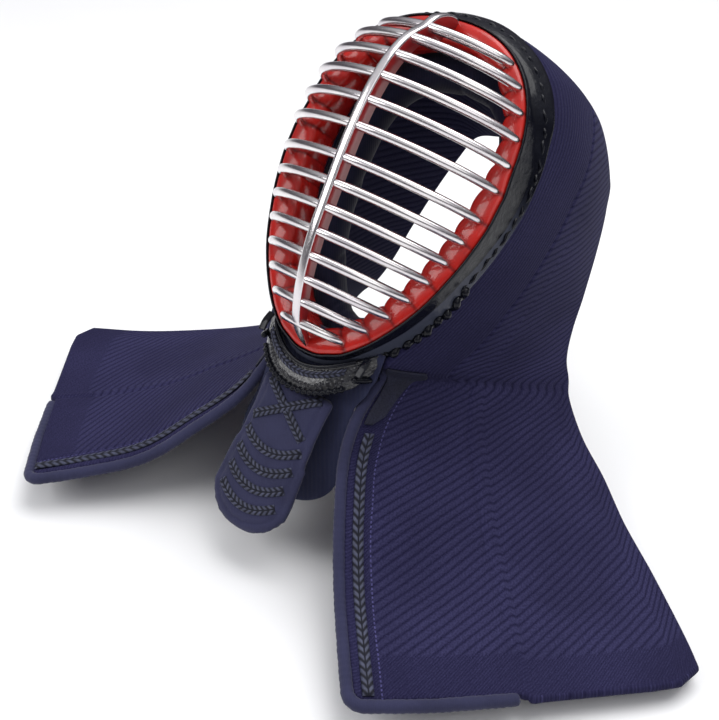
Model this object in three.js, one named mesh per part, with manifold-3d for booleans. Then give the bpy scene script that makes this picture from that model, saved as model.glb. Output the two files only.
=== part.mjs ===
// Kendo face guard and shoulder-flap helmet, millimetres, +Z up.
// The model is drawn upright, with x to the wearer's left, y backwards from the front plane of the
// face ring and z up along the ring from the foot of the centre bar. The last lines lean it back and
// put the origin on the seat where the wearer's head meets the helmet.
import * as THREE from "three";
import { mergeVertices } from "three/addons/utils/BufferGeometryUtils.js";
import Module from "manifold-3d";

const wasm = await Module();
wasm.setup();

// Posture and fits
const LEAN_DEG = 37;
const CLEARANCE = 0.3;
const SEAT_HEIGHT = 131;
const SEAT_DEPTH = 72;

// Face ring: two half ovals that meet at its widest line
const RING_HALF_WIDTH = 93;
const RING_TOP_RISE = 105.5;
const RING_BOTTOM_DROP = 160;
const RING_FOOT_DROP = 3;
const RING_TOP_POWER = 2.3;
const RING_BOTTOM_POWER = 1.72;
const RING_STEPS = 48;

// Steel grille
const BAR_DIAMETER = 7;
const BAR_SIDES = 6;
const BAR_STEPS = 14;
const BAR_POWER = 1.2;
const BAR_REACH = 63.4;
const CENTRE_BAR_WIDTH = 6;
const CENTRE_BAR_DEPTH = 11;
const CENTRE_BAR_TIP_DEPTH = 6.5;
const CENTRE_BAR_PROUD = 5;
const HOOP_WIDTH = 8.4;
const HOOP_DEPTH = 9;
const HOOP_SETBACK = 1.5;

// Lacquered lips and inner pad
const RED_LIP_WIDTH = 10;
const RED_LIP_PROUD = 3;
const RED_RIM_DEPTH = 33;
const BLACK_RIM_WALL = 3.5;
const PAD_WIDTH = 34;
const PAD_DEPTH = 34;

// Quilted cloth
const CLOTH_THICKNESS = 7;
const HOOD_DEPTH = 220;
const HOOD_HALF_WIDTH = 76;
const HOOD_CREST_HEIGHT = 250;
const BOW_SKEW = 0.7;
const WING_REACH = 330;
const WING_DROP = 195;
const WING_CORNER_RADIUS = 15;
const WING_REAR_CHAMFER = 16;
const WING_END_BULGE = 6;
const BINDING_GAP = 1.5;
const BINDING_DIAMETER = 9;
const BINDING_SIDES = 8;
const CLOTH_HALF_STEPS = 26;
const BINDING_END_SHARE = 0.48;
const HEM_INSET = 3;

// Chin guard and throat flaps
const CHIN_HALF_WIDTH = 44;
const CHIN_DROP = 34;
const CHIN_THICKNESS = 5;
const CHIN_SPREAD_DEG = 27;
const CHIN_ARCH = 0.62;
const CHIN_HALF_STEPS = 10;
const CHIN_FRONT = 1.5;
const CHIN_SLOPE = 2;
const CHIN_WRAP = 9;
const FLAP_HALF_WIDTH = 39.9;
const FLAP_DROP = 150;
const FLAP_THICKNESS = 12;
const FLAP_TILT_DEG = 0.6;
const FLAP_EDGE_ROUNDING = 3.5;
const INNER_FLAP_HALF_WIDTH = 50;
const INNER_FLAP_DROP = 119;
const INNER_FLAP_TILT_DEG = 13;
const INNER_FLAP_THICKNESS = 5;
const INNER_FLAP_ROUNDING = 1.5;

// Braids, patches and ties
const FLAP_BRAID_WIDTH = 7;
const FLAP_BRAID_THICKNESS = 1.8;
const FLAP_BRAID_PITCH = 15.2;
const FLAP_BRAID_COUNT = 4;
const FLAP_BRAID_SAG = 10.5;
const FLAP_BRAID_HALF_LENGTH = 27;
const FLAP_BRAID_TOP = 74.5;
const WING_BRAID_WIDTH = 10;
const WING_BRAID_THICKNESS = 2;
const BRAID_INSET = 6;
const PATCH_WIDTH = 20;
const PATCH_THICKNESS = 1.6;
const STRIP_EASE = 0.3;
const STRAP_WIDTH = 6;
const STRAP_THICKNESS = 2;
const TIE_DIAMETER = 5;
const TIE_BOW = 4;
const TIE_LIFT = 2;
const TIE_PLACE = { share: 1, drop: 0.8 };

// Grille bars from the top down: height as a share of the ring's height, and how far the arch
// reaches forwards as a share of the longest reach
const BARS = [
  { height: 0.919, reach: 0.532 }, { height: 0.865, reach: 0.746 }, { height: 0.802, reach: 0.886 },
  { height: 0.734, reach: 0.965 }, { height: 0.662, reach: 1.0 }, { height: 0.59, reach: 0.997 },
  { height: 0.503, reach: 0.965 }, { height: 0.434, reach: 0.924 }, { height: 0.368, reach: 0.883 },
  { height: 0.303, reach: 0.839 }, { height: 0.239, reach: 0.77 }, { height: 0.177, reach: 0.675 },
  { height: 0.118, reach: 0.552 }, { height: 0.063, reach: 0.383 },
];

// Black rim round the ring: angle from the top, how far its lacing edge stands out from the ring
// as a share of the cloth's thickness, and how far back it lies as a share of the red rim's depth
const BLACK_RIM = [
  { angle: 0, out: 2.2, back: 0.76 }, { angle: 30, out: 1.8, back: 0.76 },
  { angle: 60, out: 1.1, back: 0.76 }, { angle: 90, out: 0.95, back: 0.76 },
  { angle: 120, out: 1.2, back: 0.76 }, { angle: 140, out: 1.45, back: 0.74 },
  { angle: 155, out: 1.5, back: 0.5 }, { angle: 168, out: 1.4, back: 0.22 },
  { angle: 180, out: 1.4, back: 0.14 },
];

// Hood sections from the crest down one side: where each leaves the black rim, and where it ends
// at the rear edge, as shares of the hood's half width, crest height and depth
const HOOD_SECTIONS = [
  { angle: 0, rearX: 0, rearY: 1, rearZ: 1, bow: 1.2 },
  { angle: 24, rearX: 0.58, rearY: 1, rearZ: 0.998, bow: 1.9 },
  { angle: 42, rearX: 0.93, rearY: 1, rearZ: 0.96, bow: 2.6 },
  { angle: 60, rearX: 1.07, rearY: 1, rearZ: 0.84, bow: 2.1 },
  { angle: 80, rearX: 1.19, rearY: 1, rearZ: 0.69, bow: 1.1 },
  { angle: 100, rearX: 1.27, rearY: 1, rearZ: 0.54, bow: 0.6 },
  { angle: 120, rearX: 1.33, rearY: 1, rearZ: 0.42, bow: 0.4 },
  { angle: 138, rearX: 1.42, rearY: 1, rearZ: 0.3, bow: 0.5 },
];

// Wing sections from the ring's foot outwards: front edge, then rear edge, with x as a share of
// the wing's reach, y of the hood's depth and z of the wing's drop, and the bow of the cloth
// between them as a share of its thickness
const WING_SECTIONS = [
  { frontX: 0.146, frontY: 0.15, frontZ: 0.02, rearX: 0.37, rearY: 1.0, rearZ: 0.256, bow: 0.6 },
  { frontX: 0.142, frontY: 0.11, frontZ: -0.15, rearX: 0.446, rearY: 1.01, rearZ: 0.118, bow: 0.8 },
  { frontX: 0.159, frontY: 0.086, frontZ: -0.31, rearX: 0.547, rearY: 1.0, rearZ: 0.0, bow: 1.0 },
  { frontX: 0.22, frontY: 0.05, frontZ: -0.51, rearX: 0.66, rearY: 0.92, rearZ: -0.135, bow: 1.2 },
  { frontX: 0.303, frontY: 0.01, frontZ: -0.72, rearX: 0.78, rearY: 0.836, rearZ: -0.256, bow: 0.9 },
  { frontX: 0.407, frontY: -0.09, frontZ: -0.877, rearX: 0.9, rearY: 0.71, rearZ: -0.374, bow: 0.4 },
  { frontX: 0.502, frontY: -0.19, frontZ: -1.0, rearX: 1.0, rearY: 0.536, rearZ: -0.467, bow: -0.2 },
];

// Throat flap outline from its top edge down: half width and drop as shares of the flap's sizes
const FLAP_OUTLINE = [
  { half: 0.9, drop: 0.1 }, { half: 0.872, drop: 0.3 }, { half: 0.87, drop: 0.4 },
  { half: 0.902, drop: 0.5 }, { half: 0.945, drop: 0.6 }, { half: 0.982, drop: 0.7 },
  { half: 1.0, drop: 0.785 },
];

// Inner throat flap outline, widening below the wings' front edges, in the same shares
const INNER_FLAP_OUTLINE = [
  { half: 0.78, drop: 0.12 }, { half: 0.8, drop: 0.42 }, { half: 0.95, drop: 0.6 }, { half: 1.0, drop: 0.7 },
];

// Crossed braids on the throat flap: ends as shares of the flap's half width and drop
const FLAP_CROSS = [
  { fromHalf: -0.63, fromDrop: 0.22, toHalf: 0.6, toDrop: 0.442 },
  { fromHalf: -0.65, fromDrop: 0.437, toHalf: 0.62, toDrop: 0.22 },
];

const material = (color, roughness, metalness) =>
  new THREE.MeshStandardMaterial({ color, roughness, metalness, side: THREE.DoubleSide });
const STEEL = () => material(0xd8d6dc, 0.2, 1.0);
const RED_LACQUER = () => material(0xc23022, 0.22, 0.0);
const BLACK_LACQUER = () => material(0x0d0d12, 0.15, 0.0);
const LEATHER = () => material(0x1b1b26, 0.5, 0.0);
const QUILT = () => material(0x2b2b4a, 0.9, 0.0);
const BINDING = () => material(0x34345a, 0.85, 0.0);
const BRAID = () => material(0x2b2e38, 0.8, 0.0);

// Closed solids from rows of points

/** A geometry from points and triangles, turned so that its faces point out. */
function solidFrom(points, triangles) {
  let volume = 0;
  for (const [a, b, c] of triangles) {
    volume += points[a].dot(new THREE.Vector3().crossVectors(points[b], points[c]));
  }
  const faces = volume < 0 ? triangles.map(([a, b, c]) => [a, c, b]) : triangles;
  const geometry = new THREE.BufferGeometry();
  geometry.setAttribute("position", new THREE.Float32BufferAttribute(points.flatMap((p) => p.toArray()), 3));
  geometry.setIndex(faces.flat());
  return geometry;
}

/** A closed band whose sections, all of one length, follow each other round a ring. */
function ringBand(sections) {
  const rows = sections.length;
  const size = sections[0].length;
  const triangles = [];
  for (let i = 0; i < rows; i++) {
    const next = (i + 1) % rows;
    for (let j = 0; j < size; j++) {
      const k = (j + 1) % size;
      triangles.push([i * size + j, next * size + j, next * size + k]);
      triangles.push([i * size + j, next * size + k, i * size + k]);
    }
  }
  return solidFrom(sections.flat(), triangles);
}

/** Unit normals of a grid of points, by differences along its rows and columns. */
function gridNormals(grid) {
  const rows = grid.length;
  const columns = grid[0].length;
  return grid.map((row, i) =>
    row.map((_, j) => {
      const along = grid[Math.min(i + 1, rows - 1)][j].clone().sub(grid[Math.max(i - 1, 0)][j]);
      const across = row[Math.min(j + 1, columns - 1)].clone().sub(row[Math.max(j - 1, 0)]);
      return along.cross(across).normalize();
    })
  );
}

/**
 * A sheet of even thickness laid inwards from a grid of points on its outer face, which lift raises.
 * Rows before mirrorRow are split the other way, so that a sheet across the middle is symmetric.
 */
function sheet(grid, thickness, lift = 0, mirrorRow = 0) {
  const rows = grid.length;
  const columns = grid[0].length;
  const normals = gridNormals(grid);
  const shifted = (distance) =>
    grid.flatMap((row, i) => row.map((p, j) => p.clone().addScaledVector(normals[i][j], distance)));
  const points = [...shifted(lift), ...shifted(lift - thickness)];
  const inner = rows * columns;
  const at = (i, j) => i * columns + j;
  const triangles = [];
  const quad = (i, a, b, c, d) => {
    if (i < mirrorRow) triangles.push([b, c, d], [b, d, a]);
    else triangles.push([a, b, c], [a, c, d]);
  };
  for (let i = 0; i + 1 < rows; i++) {
    for (let j = 0; j + 1 < columns; j++) {
      quad(i, at(i, j), at(i + 1, j), at(i + 1, j + 1), at(i, j + 1));
      quad(i, inner + at(i, j), inner + at(i, j + 1), inner + at(i + 1, j + 1), inner + at(i + 1, j));
    }
  }
  for (let i = 0; i + 1 < rows; i++) {
    quad(i, at(i, 0), inner + at(i, 0), inner + at(i + 1, 0), at(i + 1, 0));
    const last = columns - 1;
    quad(i, at(i, last), at(i + 1, last), inner + at(i + 1, last), inner + at(i, last));
  }
  for (let j = 0; j + 1 < columns; j++) {
    quad(0, at(0, j), at(0, j + 1), inner + at(0, j + 1), inner + at(0, j));
    const last = rows - 1;
    quad(last, at(last, j), inner + at(last, j), inner + at(last, j + 1), at(last, j + 1));
  }
  return solidFrom(points, triangles);
}

/** A tube of even section along a curve. */
function tube(curve, diameter, sides, steps) {
  const shape = new THREE.Shape();
  for (let i = 0; i < sides; i++) {
    const turn = ((i + 0.5) / sides) * 2 * Math.PI;
    const x = (diameter / 2) * Math.cos(turn);
    const y = (diameter / 2) * Math.sin(turn);
    if (i === 0) shape.moveTo(x, y);
    else shape.lineTo(x, y);
  }
  shape.closePath();
  return new THREE.ExtrudeGeometry(shape, { steps, bevelEnabled: false, extrudePath: curve });
}

/** The mirror image of a geometry on the other side of the wearer's middle. */
function mirrorImage(geometry) {
  const copy = bare(geometry).scale(-1, 1, 1);
  const corners = copy.index.array;
  for (let i = 0; i < corners.length; i += 3) [corners[i], corners[i + 1]] = [corners[i + 1], corners[i]];
  return copy;
}

/** The vertices and faces of a geometry alone, with shared corners merged. */
function bare(geometry) {
  const copy = geometry.clone();
  for (const name of ["normal", "uv"]) copy.deleteAttribute(name);
  return mergeVertices(copy, 1e-3);
}

/** A solid that can be joined or cut. */
function toSolid(geometry) {
  const merged = bare(geometry);
  return new wasm.Manifold(new wasm.Mesh({
    numProp: 3,
    vertProperties: new Float32Array(merged.attributes.position.array),
    triVerts: new Uint32Array(merged.index.array),
  }));
}

/** The geometry of a joined or cut solid. */
function fromSolid(solid) {
  const mesh = solid.getMesh();
  const geometry = new THREE.BufferGeometry();
  geometry.setAttribute("position", new THREE.Float32BufferAttribute(mesh.vertProperties, 3));
  geometry.setIndex(new THREE.BufferAttribute(mesh.triVerts, 1));
  return geometry;
}

/** A smooth value between the rows of a table, read at a place along one of its columns. */
function readTable(table, key, place, column) {
  const last = table.length - 1;
  if (place <= table[0][key]) return table[0][column];
  if (place >= table[last][key]) return table[last][column];
  const i = table.findIndex((row) => row[key] > place) - 1;
  const share = (place - table[i][key]) / (table[i + 1][key] - table[i][key]);
  const eased = share * share * (3 - 2 * share);
  return table[i][column] + (table[i + 1][column] - table[i][column]) * eased;
}

// The face ring's outline

const ringWidest = RING_BOTTOM_DROP - RING_FOOT_DROP;
const power = (value, exponent) => Math.sign(value) * Math.abs(value) ** exponent;

/** A point of the ring's outer edge, at an angle in degrees from its top towards the left. */
function ringPoint(angle) {
  const turn = THREE.MathUtils.degToRad(angle);
  const upper = Math.cos(turn) >= 0;
  const exponent = 2 / (upper ? RING_TOP_POWER : RING_BOTTOM_POWER);
  const rise = upper ? RING_TOP_RISE : RING_BOTTOM_DROP;
  return new THREE.Vector3(
    RING_HALF_WIDTH * power(Math.sin(turn), exponent),
    0,
    ringWidest + rise * power(Math.cos(turn), exponent),
  );
}

/** A point beside the ring's edge: out from it in the ring's plane, and back from that plane. */
function besideRing(angle, out, back) {
  const step = 1.5;
  const along = ringPoint(angle + step).sub(ringPoint(angle - step));
  const outwards = new THREE.Vector3(-along.z, 0, along.x).normalize();
  return ringPoint(angle).addScaledVector(outwards, out).setY(back);
}

/** A band round the whole ring, from a section given for each angle. */
function bandRoundRing(sectionAt) {
  const sections = [];
  for (let i = 0; i < RING_STEPS; i++) {
    const angle = (i * 360) / RING_STEPS;
    sections.push(sectionAt(angle).map(([out, back]) => besideRing(angle, out, back)));
  }
  return ringBand(sections);
}

/** Half the width of the ring at a height, measured a distance inside its edge. */
function halfWidthAt(height, inset) {
  let low = 1;
  let high = 179;
  while (high - low > 0.01) {
    const middle = (low + high) / 2;
    if (besideRing(middle, -inset, 0).z > height) low = middle;
    else high = middle;
  }
  return besideRing((low + high) / 2, -inset, 0).x;
}

const ringTop = ringWidest + RING_TOP_RISE;
const ringFoot = -RING_FOOT_DROP;
const ringHeight = ringTop - ringFoot;
const barRadius = BAR_DIAMETER / 2;
const barInset = HOOP_WIDTH / 2;
const hoopInner = -HOOP_WIDTH - CLEARANCE;

/** How far the black rim's lacing edge stands out and back from the ring at an angle. */
function blackRimAt(angle) {
  const folded = angle > 180 ? 360 - angle : angle;
  return {
    out: CLOTH_THICKNESS * readTable(BLACK_RIM, "angle", folded, "out"),
    back: RED_RIM_DEPTH * readTable(BLACK_RIM, "angle", folded, "back"),
  };
}

// Steel grille

/** The height of a bar's plane. */
const barHeight = ({ height }) => ringFoot + height * ringHeight;

/** One grille bar: an arch in its own level plane, with its feet set into the hoop. */
function grilleBar(row) {
  const height = barHeight(row);
  const half = halfWidthAt(height, barInset);
  const reach = row.reach * BAR_REACH;
  const foot = HOOP_SETBACK + HOOP_DEPTH / 2;
  const points = [new THREE.Vector3(half, foot, height)];
  for (let i = 0; i <= BAR_STEPS; i++) {
    const turn = (i / BAR_STEPS) * Math.PI;
    points.push(new THREE.Vector3(
      half * power(Math.cos(turn), BAR_POWER), -reach * power(Math.sin(turn), BAR_POWER), height,
    ));
  }
  points.push(new THREE.Vector3(-half, foot, height));
  return tube(new THREE.CatmullRomCurve3(points), BAR_DIAMETER, BAR_SIDES, BAR_STEPS);
}

/** The upright blade down the middle, proud of the bars' crests, made larger all round by grow. */
function centreBar(grow = 0) {
  const foot = HOOP_SETBACK + HOOP_DEPTH / 2;
  const crests = BARS.map((row) => new THREE.Vector2(barHeight(row), row.reach * BAR_REACH + CENTRE_BAR_PROUD));
  const front = new THREE.SplineCurve([
    new THREE.Vector2(ringTop - HOOP_SETBACK, 0), ...crests, new THREE.Vector2(ringFoot + HOOP_SETBACK + 1, 0),
  ]).getPoints(40);
  const outline = [new THREE.Vector2(front[0].x, -foot), ...front, new THREE.Vector2(front[40].x, -foot)];
  const back = outline.map((p, i) => {
    const before = outline[Math.max(i - 1, 0)];
    const after = outline[Math.min(i + 1, outline.length - 1)];
    const along = after.clone().sub(before).normalize();
    const share = Math.sin((Math.PI * i) / (outline.length - 1));
    const depth = grow + CENTRE_BAR_TIP_DEPTH
      + (CENTRE_BAR_DEPTH - CENTRE_BAR_TIP_DEPTH) * Math.min(1, 2 * share);
    return p.clone().add(new THREE.Vector2(along.y, -along.x).multiplyScalar(-depth));
  });
  const shape = new THREE.Shape([...outline, ...back.reverse()]);
  const width = CENTRE_BAR_WIDTH + 2 * grow;
  const blade = new THREE.ExtrudeGeometry(shape, { depth: width, bevelEnabled: false });
  const place = new THREE.Matrix4().makeBasis(
    new THREE.Vector3(0, 0, 1), new THREE.Vector3(0, -1, 0), new THREE.Vector3(1, 0, 0),
  );
  return blade.applyMatrix4(place).translate(-width / 2, 0, 0);
}

/** The whole grille: hidden hoop, level bars and centre blade, welded into one. */
function faceGrille() {
  const front = HOOP_SETBACK;
  const back = HOOP_SETBACK + HOOP_DEPTH;
  const hoop = bandRoundRing(() => [[0, front], [0, back], [-HOOP_WIDTH, back], [-HOOP_WIDTH, front]]);
  let grille = toSolid(hoop).add(toSolid(centreBar()));
  for (const row of BARS) grille = grille.add(toSolid(grilleBar(row)));
  return fromSolid(grille);
}

// Lacquered rims and inner pad

/** The rolled red lip and wall inside the bars' feet. */
function redRim() {
  const outer = hoopInner;
  const inner = hoopInner - RED_LIP_WIDTH;
  const band = bandRoundRing(() => [
    [outer, HOOP_SETBACK],
    [outer - 0.12 * RED_LIP_WIDTH, -0.6 * RED_LIP_PROUD],
    [outer - 0.4 * RED_LIP_WIDTH, -RED_LIP_PROUD],
    [outer - 0.75 * RED_LIP_WIDTH, -0.4 * RED_LIP_PROUD],
    [inner, RED_LIP_PROUD],
    [inner, 0.5 * RED_RIM_DEPTH],
    [inner + 0.1 * RED_LIP_WIDTH, RED_RIM_DEPTH],
    [outer, RED_RIM_DEPTH],
  ]);
  return fromSolid(toSolid(band).subtract(toSolid(centreBar(CLEARANCE))));
}

/** The black rim that runs from the red lip out to the lacing edge on the cloth. */
function blackRim() {
  return bandRoundRing((angle) => {
    const { out, back } = blackRimAt(angle);
    const start = CLEARANCE;
    return [
      [start, 0.06 * back],
      [start, -0.5],
      [start + 0.4 * BLACK_RIM_WALL, -1],
      [start + 0.6 * out, 0.36 * back],
      [out, 0.92 * back],
      [out - 0.3, back],
      [out - BLACK_RIM_WALL, back],
      [start + 0.28 * out, 0.6 * back],
    ];
  });
}

/** The stuffed pad behind the red rim that the wearer's face rests in. */
function facePad() {
  const start = RED_RIM_DEPTH + CLEARANCE;
  const profile = [
    { in: 0.06, back: 0 }, { in: 0.0, back: 0.3 }, { in: 0.03, back: 0.82 }, { in: 0.3, back: 1 },
    { in: 0.78, back: 0.92 }, { in: 1, back: 0.6 }, { in: 0.97, back: 0.22 }, { in: 0.75, back: 0 },
  ];
  const outerInset = 5;
  const sections = [];
  for (let i = 0; i < RING_STEPS; i++) {
    const angle = (i * 360) / RING_STEPS;
    const outer = besideRing(angle, -outerInset, 0);
    const centre = new THREE.Vector3(0, 0, ringWidest);
    const arm = outer.clone().sub(centre);
    const inwards = PAD_WIDTH / arm.length();
    sections.push(profile.map((p) =>
      centre.clone().addScaledVector(arm, 1 - inwards * p.in).setY(start + p.back * PAD_DEPTH)));
  }
  return ringBand(sections);
}

// Quilted hood and wings

/** Front and rear corners of every section from the crest to the end of one wing. */
function clothSections() {
  const hood = HOOD_SECTIONS.map((row) => {
    const { out, back } = blackRimAt(row.angle);
    const front = besideRing(row.angle, out - 0.2 * CLOTH_THICKNESS, back + CLEARANCE + 1);
    const rear = new THREE.Vector3(
      row.rearX * HOOD_HALF_WIDTH, row.rearY * HOOD_DEPTH, row.rearZ * HOOD_CREST_HEIGHT);
    return { front, rear, bow: row.bow * CLOTH_THICKNESS };
  });
  const wing = WING_SECTIONS.map((row) => ({
    front: new THREE.Vector3(row.frontX * WING_REACH, row.frontY * HOOD_DEPTH, row.frontZ * WING_DROP),
    rear: new THREE.Vector3(row.rearX * WING_REACH, row.rearY * HOOD_DEPTH, row.rearZ * WING_DROP),
    bow: row.bow * CLOTH_THICKNESS,
  }));
  return [...hood, ...wing];
}

const mirrored = (p) => new THREE.Vector3(-p.x, p.y, p.z);
const halfSections = clothSections();
const allSections = [
  ...halfSections.slice(1).reverse().map((s) => ({ front: mirrored(s.front), rear: mirrored(s.rear), bow: s.bow })),
  ...halfSections,
];
const frontEdge = new THREE.CatmullRomCurve3(allSections.map((s) => s.front));
const rearEdge = new THREE.CatmullRomCurve3(allSections.map((s) => s.rear));
const bows = allSections.map((s) => s.bow);
const sectionCount = halfSections.length - 1;
const wingStart = HOOD_SECTIONS.length / sectionCount;
const PATCH_END = wingStart + 0.1;
const BRAID_START = PATCH_END + 0.01;
const BRAID_END = 0.985;

/** A point on the cloth's outer face: side from -1 to 1 across the crest, depth from 0 to 1. */
function clothPoint(side, depth) {
  const t = THREE.MathUtils.clamp((side + 1) / 2, 0, 1);
  const front = frontEdge.getPoint(t);
  const rear = rearEdge.getPoint(t);
  const run = rear.clone().sub(front);
  const step = 0.004;
  const t0 = Math.max(t - step, 0);
  const t1 = Math.min(t + step, 1);
  const along = frontEdge.getPoint(t1).lerp(rearEdge.getPoint(t1), depth)
    .sub(frontEdge.getPoint(t0).lerp(rearEdge.getPoint(t0), depth));
  const outwards = along.clone().cross(run).normalize();
  const row = t * (bows.length - 1);
  const i = Math.min(Math.floor(row), bows.length - 2);
  const bow = bows[i] + (bows[i + 1] - bows[i]) * (row - i);
  return front.addScaledVector(run, depth).addScaledVector(outwards, Math.sin(Math.PI * depth ** BOW_SKEW) * bow);
}

/** How many millimetres one unit of side covers at the end of a wing. */
function sideScale(depth) {
  const step = 0.02;
  return clothPoint(1, depth).distanceTo(clothPoint(1 - step, depth)) / step;
}

/** How many millimetres one unit of depth covers on a section. */
const depthScale = (side) => clothPoint(side, 0).distanceTo(clothPoint(side, 1));

/** The side value a distance inside the wing's finished end: bulged, front corner round, rear cut. */
function wingEnd(depth, inset) {
  const run = depth * depthScale(1) - inset;
  const back = (1 - depth) * depthScale(1);
  const radius = Math.max(WING_CORNER_RADIUS - inset, 0);
  let lost = inset - 4 * depth * (1 - depth) * WING_END_BULGE;
  if (run < radius) lost += radius - Math.sqrt(Math.max(radius ** 2 - (radius - run) ** 2, 0));
  if (back < WING_REAR_CHAMFER) lost += 0.7 * (WING_REAR_CHAMFER - back);
  return 1 - lost / sideScale(depth);
}

/** Rows of points over the cloth's outer face, from the right wing's end to the left one's. */
function clothGrid() {
  const notch = 0.015;
  const depths = [0, 0.04, 0.1, 0.2, 0.34, BINDING_END_SHARE, BINDING_END_SHARE + notch, 0.68, 0.86, 0.95, 1];
  const edge = BINDING_DIAMETER + BINDING_GAP;
  const grid = [];
  for (let i = -CLOTH_HALF_STEPS; i <= CLOTH_HALF_STEPS; i++) {
    const share = i / CLOTH_HALF_STEPS;
    const bound = THREE.MathUtils.smoothstep(Math.abs(share), wingStart - 0.03, wingStart);
    grid.push(depths.map((place) => {
      const start = (bound * edge) / depthScale(Math.abs(share));
      const depth = start + (1 - start) * place;
      return clothPoint(share * wingEnd(depth, place <= BINDING_END_SHARE ? edge : HEM_INSET), depth);
    }));
  }
  return grid;
}

const clothRows = clothGrid();

/** A point under the cloth's outer face, at the middle of its thickness. */
function midCloth(side, depth) {
  const step = 0.01;
  const along = clothPoint(side + step, depth).sub(clothPoint(side - step, depth));
  const across = clothPoint(side, depth + step).sub(clothPoint(side, depth - step));
  const outwards = along.cross(across).normalize();
  return clothPoint(side, depth).addScaledVector(outwards, -CLOTH_THICKNESS / 2);
}

const bindingStart = wingStart + 0.012;

/** The quilted cloth: hood and both wings in one padded sheet. */
const quiltedHood = () => sheet(clothRows, CLOTH_THICKNESS, 0, CLOTH_HALF_STEPS);

/** The round cloth binding along a wing's front edge, its corner and the front of its end. */
function wingBinding() {
  const radius = BINDING_DIAMETER / 2;
  const points = [];
  const first = bindingStart;
  const frontSteps = 14;
  const last = wingEnd(radius / depthScale(1), radius);
  for (let i = 0; i < frontSteps; i++) {
    const side = first + ((last - first) * i) / frontSteps;
    points.push(midCloth(side, radius / depthScale(side)));
  }
  const endSteps = 12;
  for (let i = 0; i <= endSteps; i++) {
    const share = (i / endSteps) ** 1.8;
    const depth = radius / depthScale(1) + (BINDING_END_SHARE - 0.02) * share;
    points.push(midCloth(wingEnd(depth, radius), depth));
  }
  return tube(new THREE.CatmullRomCurve3(points), BINDING_DIAMETER, BINDING_SIDES, 32);
}

/** A point on one row of the cloth, a distance from its front edge. */
function alongRow(row, distance) {
  let left = distance;
  for (let j = 0; j + 1 < row.length; j++) {
    const length = row[j].distanceTo(row[j + 1]);
    if (left <= length) return row[j].clone().lerp(row[j + 1], left / length);
    left -= length;
  }
  return row[row.length - 1].clone();
}

/** The row of points that the cloth has at any side value. */
function rowAt(side) {
  const place = CLOTH_HALF_STEPS * (1 + side);
  const i = Math.min(Math.floor(place), clothRows.length - 2);
  return clothRows[i].map((p, j) => p.clone().lerp(clothRows[i + 1][j], place - i));
}

/** A strip sewn on the left wing's outer face, between two sides and two distances from its front. */
function wingStrip(fromSide, toSide, insets, thickness) {
  const sides = [fromSide];
  for (let i = 1; i < CLOTH_HALF_STEPS; i++) {
    const side = i / CLOTH_HALF_STEPS;
    if (side > fromSide && side < toSide) sides.push(side);
  }
  sides.push(toSide);
  const grid = sides.map((side) => insets.map((inset) => alongRow(rowAt(side), inset)));
  return sheet(grid, thickness, thickness + CLEARANCE + STRIP_EASE);
}

// Chin guard and throat flaps

/** A point on the chin guard's outer face: share from -1 to 1 across it, drop from 0 to 1 down it. */
function chinPoint(share, drop, grow = 0) {
  const angle = 180 - CHIN_SPREAD_DEG * share;
  const wrap = CHIN_WRAP * Math.abs(share) ** 3;
  const top = besideRing(angle, blackRimAt(angle).out + 4 * CLEARANCE, CHIN_FRONT + wrap);
  const arch = CHIN_DROP * (1 - CHIN_ARCH * Math.abs(share) ** 2.2);
  const low = new THREE.Vector3((CHIN_HALF_WIDTH + grow) * share, CHIN_FRONT + CHIN_SLOPE + wrap, -arch - grow);
  const middle = top.clone().lerp(low, 0.5);
  middle.y -= CHIN_SLOPE;
  return new THREE.QuadraticBezierCurve3(top, middle, low).getPoint(drop);
}

/** The padded leather guard under the ring's foot, made larger below and behind by grow. */
function chinGuard(grow = 0) {
  const grid = [];
  for (let i = CHIN_HALF_STEPS; i >= -CHIN_HALF_STEPS; i--) {
    grid.push([0, 0.25, 0.5, 0.75, 1].map((drop) => chinPoint(i / CHIN_HALF_STEPS, drop, grow)));
  }
  return sheet(grid, CHIN_THICKNESS + grow, 0, CHIN_HALF_STEPS);
}

/** A flat pad with a round lower end: its front face lies in the plane y = 0. */
function roundPad(halfAt, top, bottom, roundTop, thickness, rounding) {
  const right = [];
  const straight = 8;
  const turns = 9;
  for (let i = 0; i <= straight; i++) {
    const z = top + ((roundTop - top) * i) / straight;
    right.push(new THREE.Vector2(halfAt(z), z));
  }
  for (let i = 1; i < turns; i++) {
    const turn = (i / turns) * (Math.PI / 2);
    right.push(new THREE.Vector2(
      halfAt(roundTop) * Math.cos(turn), roundTop + (bottom - roundTop) * Math.sin(turn)));
  }
  const left = right.map((p) => new THREE.Vector2(-p.x, p.y)).reverse();
  const shape = new THREE.Shape([...right, new THREE.Vector2(0, bottom), ...left]);
  const pad = new THREE.ExtrudeGeometry(shape, {
    depth: thickness - 2 * rounding, bevelEnabled: true, bevelThickness: rounding,
    bevelSize: rounding, bevelOffset: -rounding, bevelSegments: 2, steps: 1,
  });
  return pad.translate(0, 0, rounding).rotateX(Math.PI / 2).translate(0, thickness, 0);
}

/** Places a flap's piece, drawn with its front face on y = 0, and tilts it about a level line. */
function ontoFlap(geometry, inFront, tiltDegrees = FLAP_TILT_DEG, hinge = -CHIN_DROP) {
  const face = CHIN_FRONT + CHIN_SLOPE + CHIN_THICKNESS + CLEARANCE;
  const tilt = THREE.MathUtils.degToRad(tiltDegrees);
  return geometry.translate(0, 0, -hinge).rotateX(tilt).translate(0, face - inFront, hinge);
}

/** The throat flap's half width at a height. */
const flapHalf = (z) => FLAP_HALF_WIDTH * readTable(FLAP_OUTLINE, "drop", -z / FLAP_DROP, "half");

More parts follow.
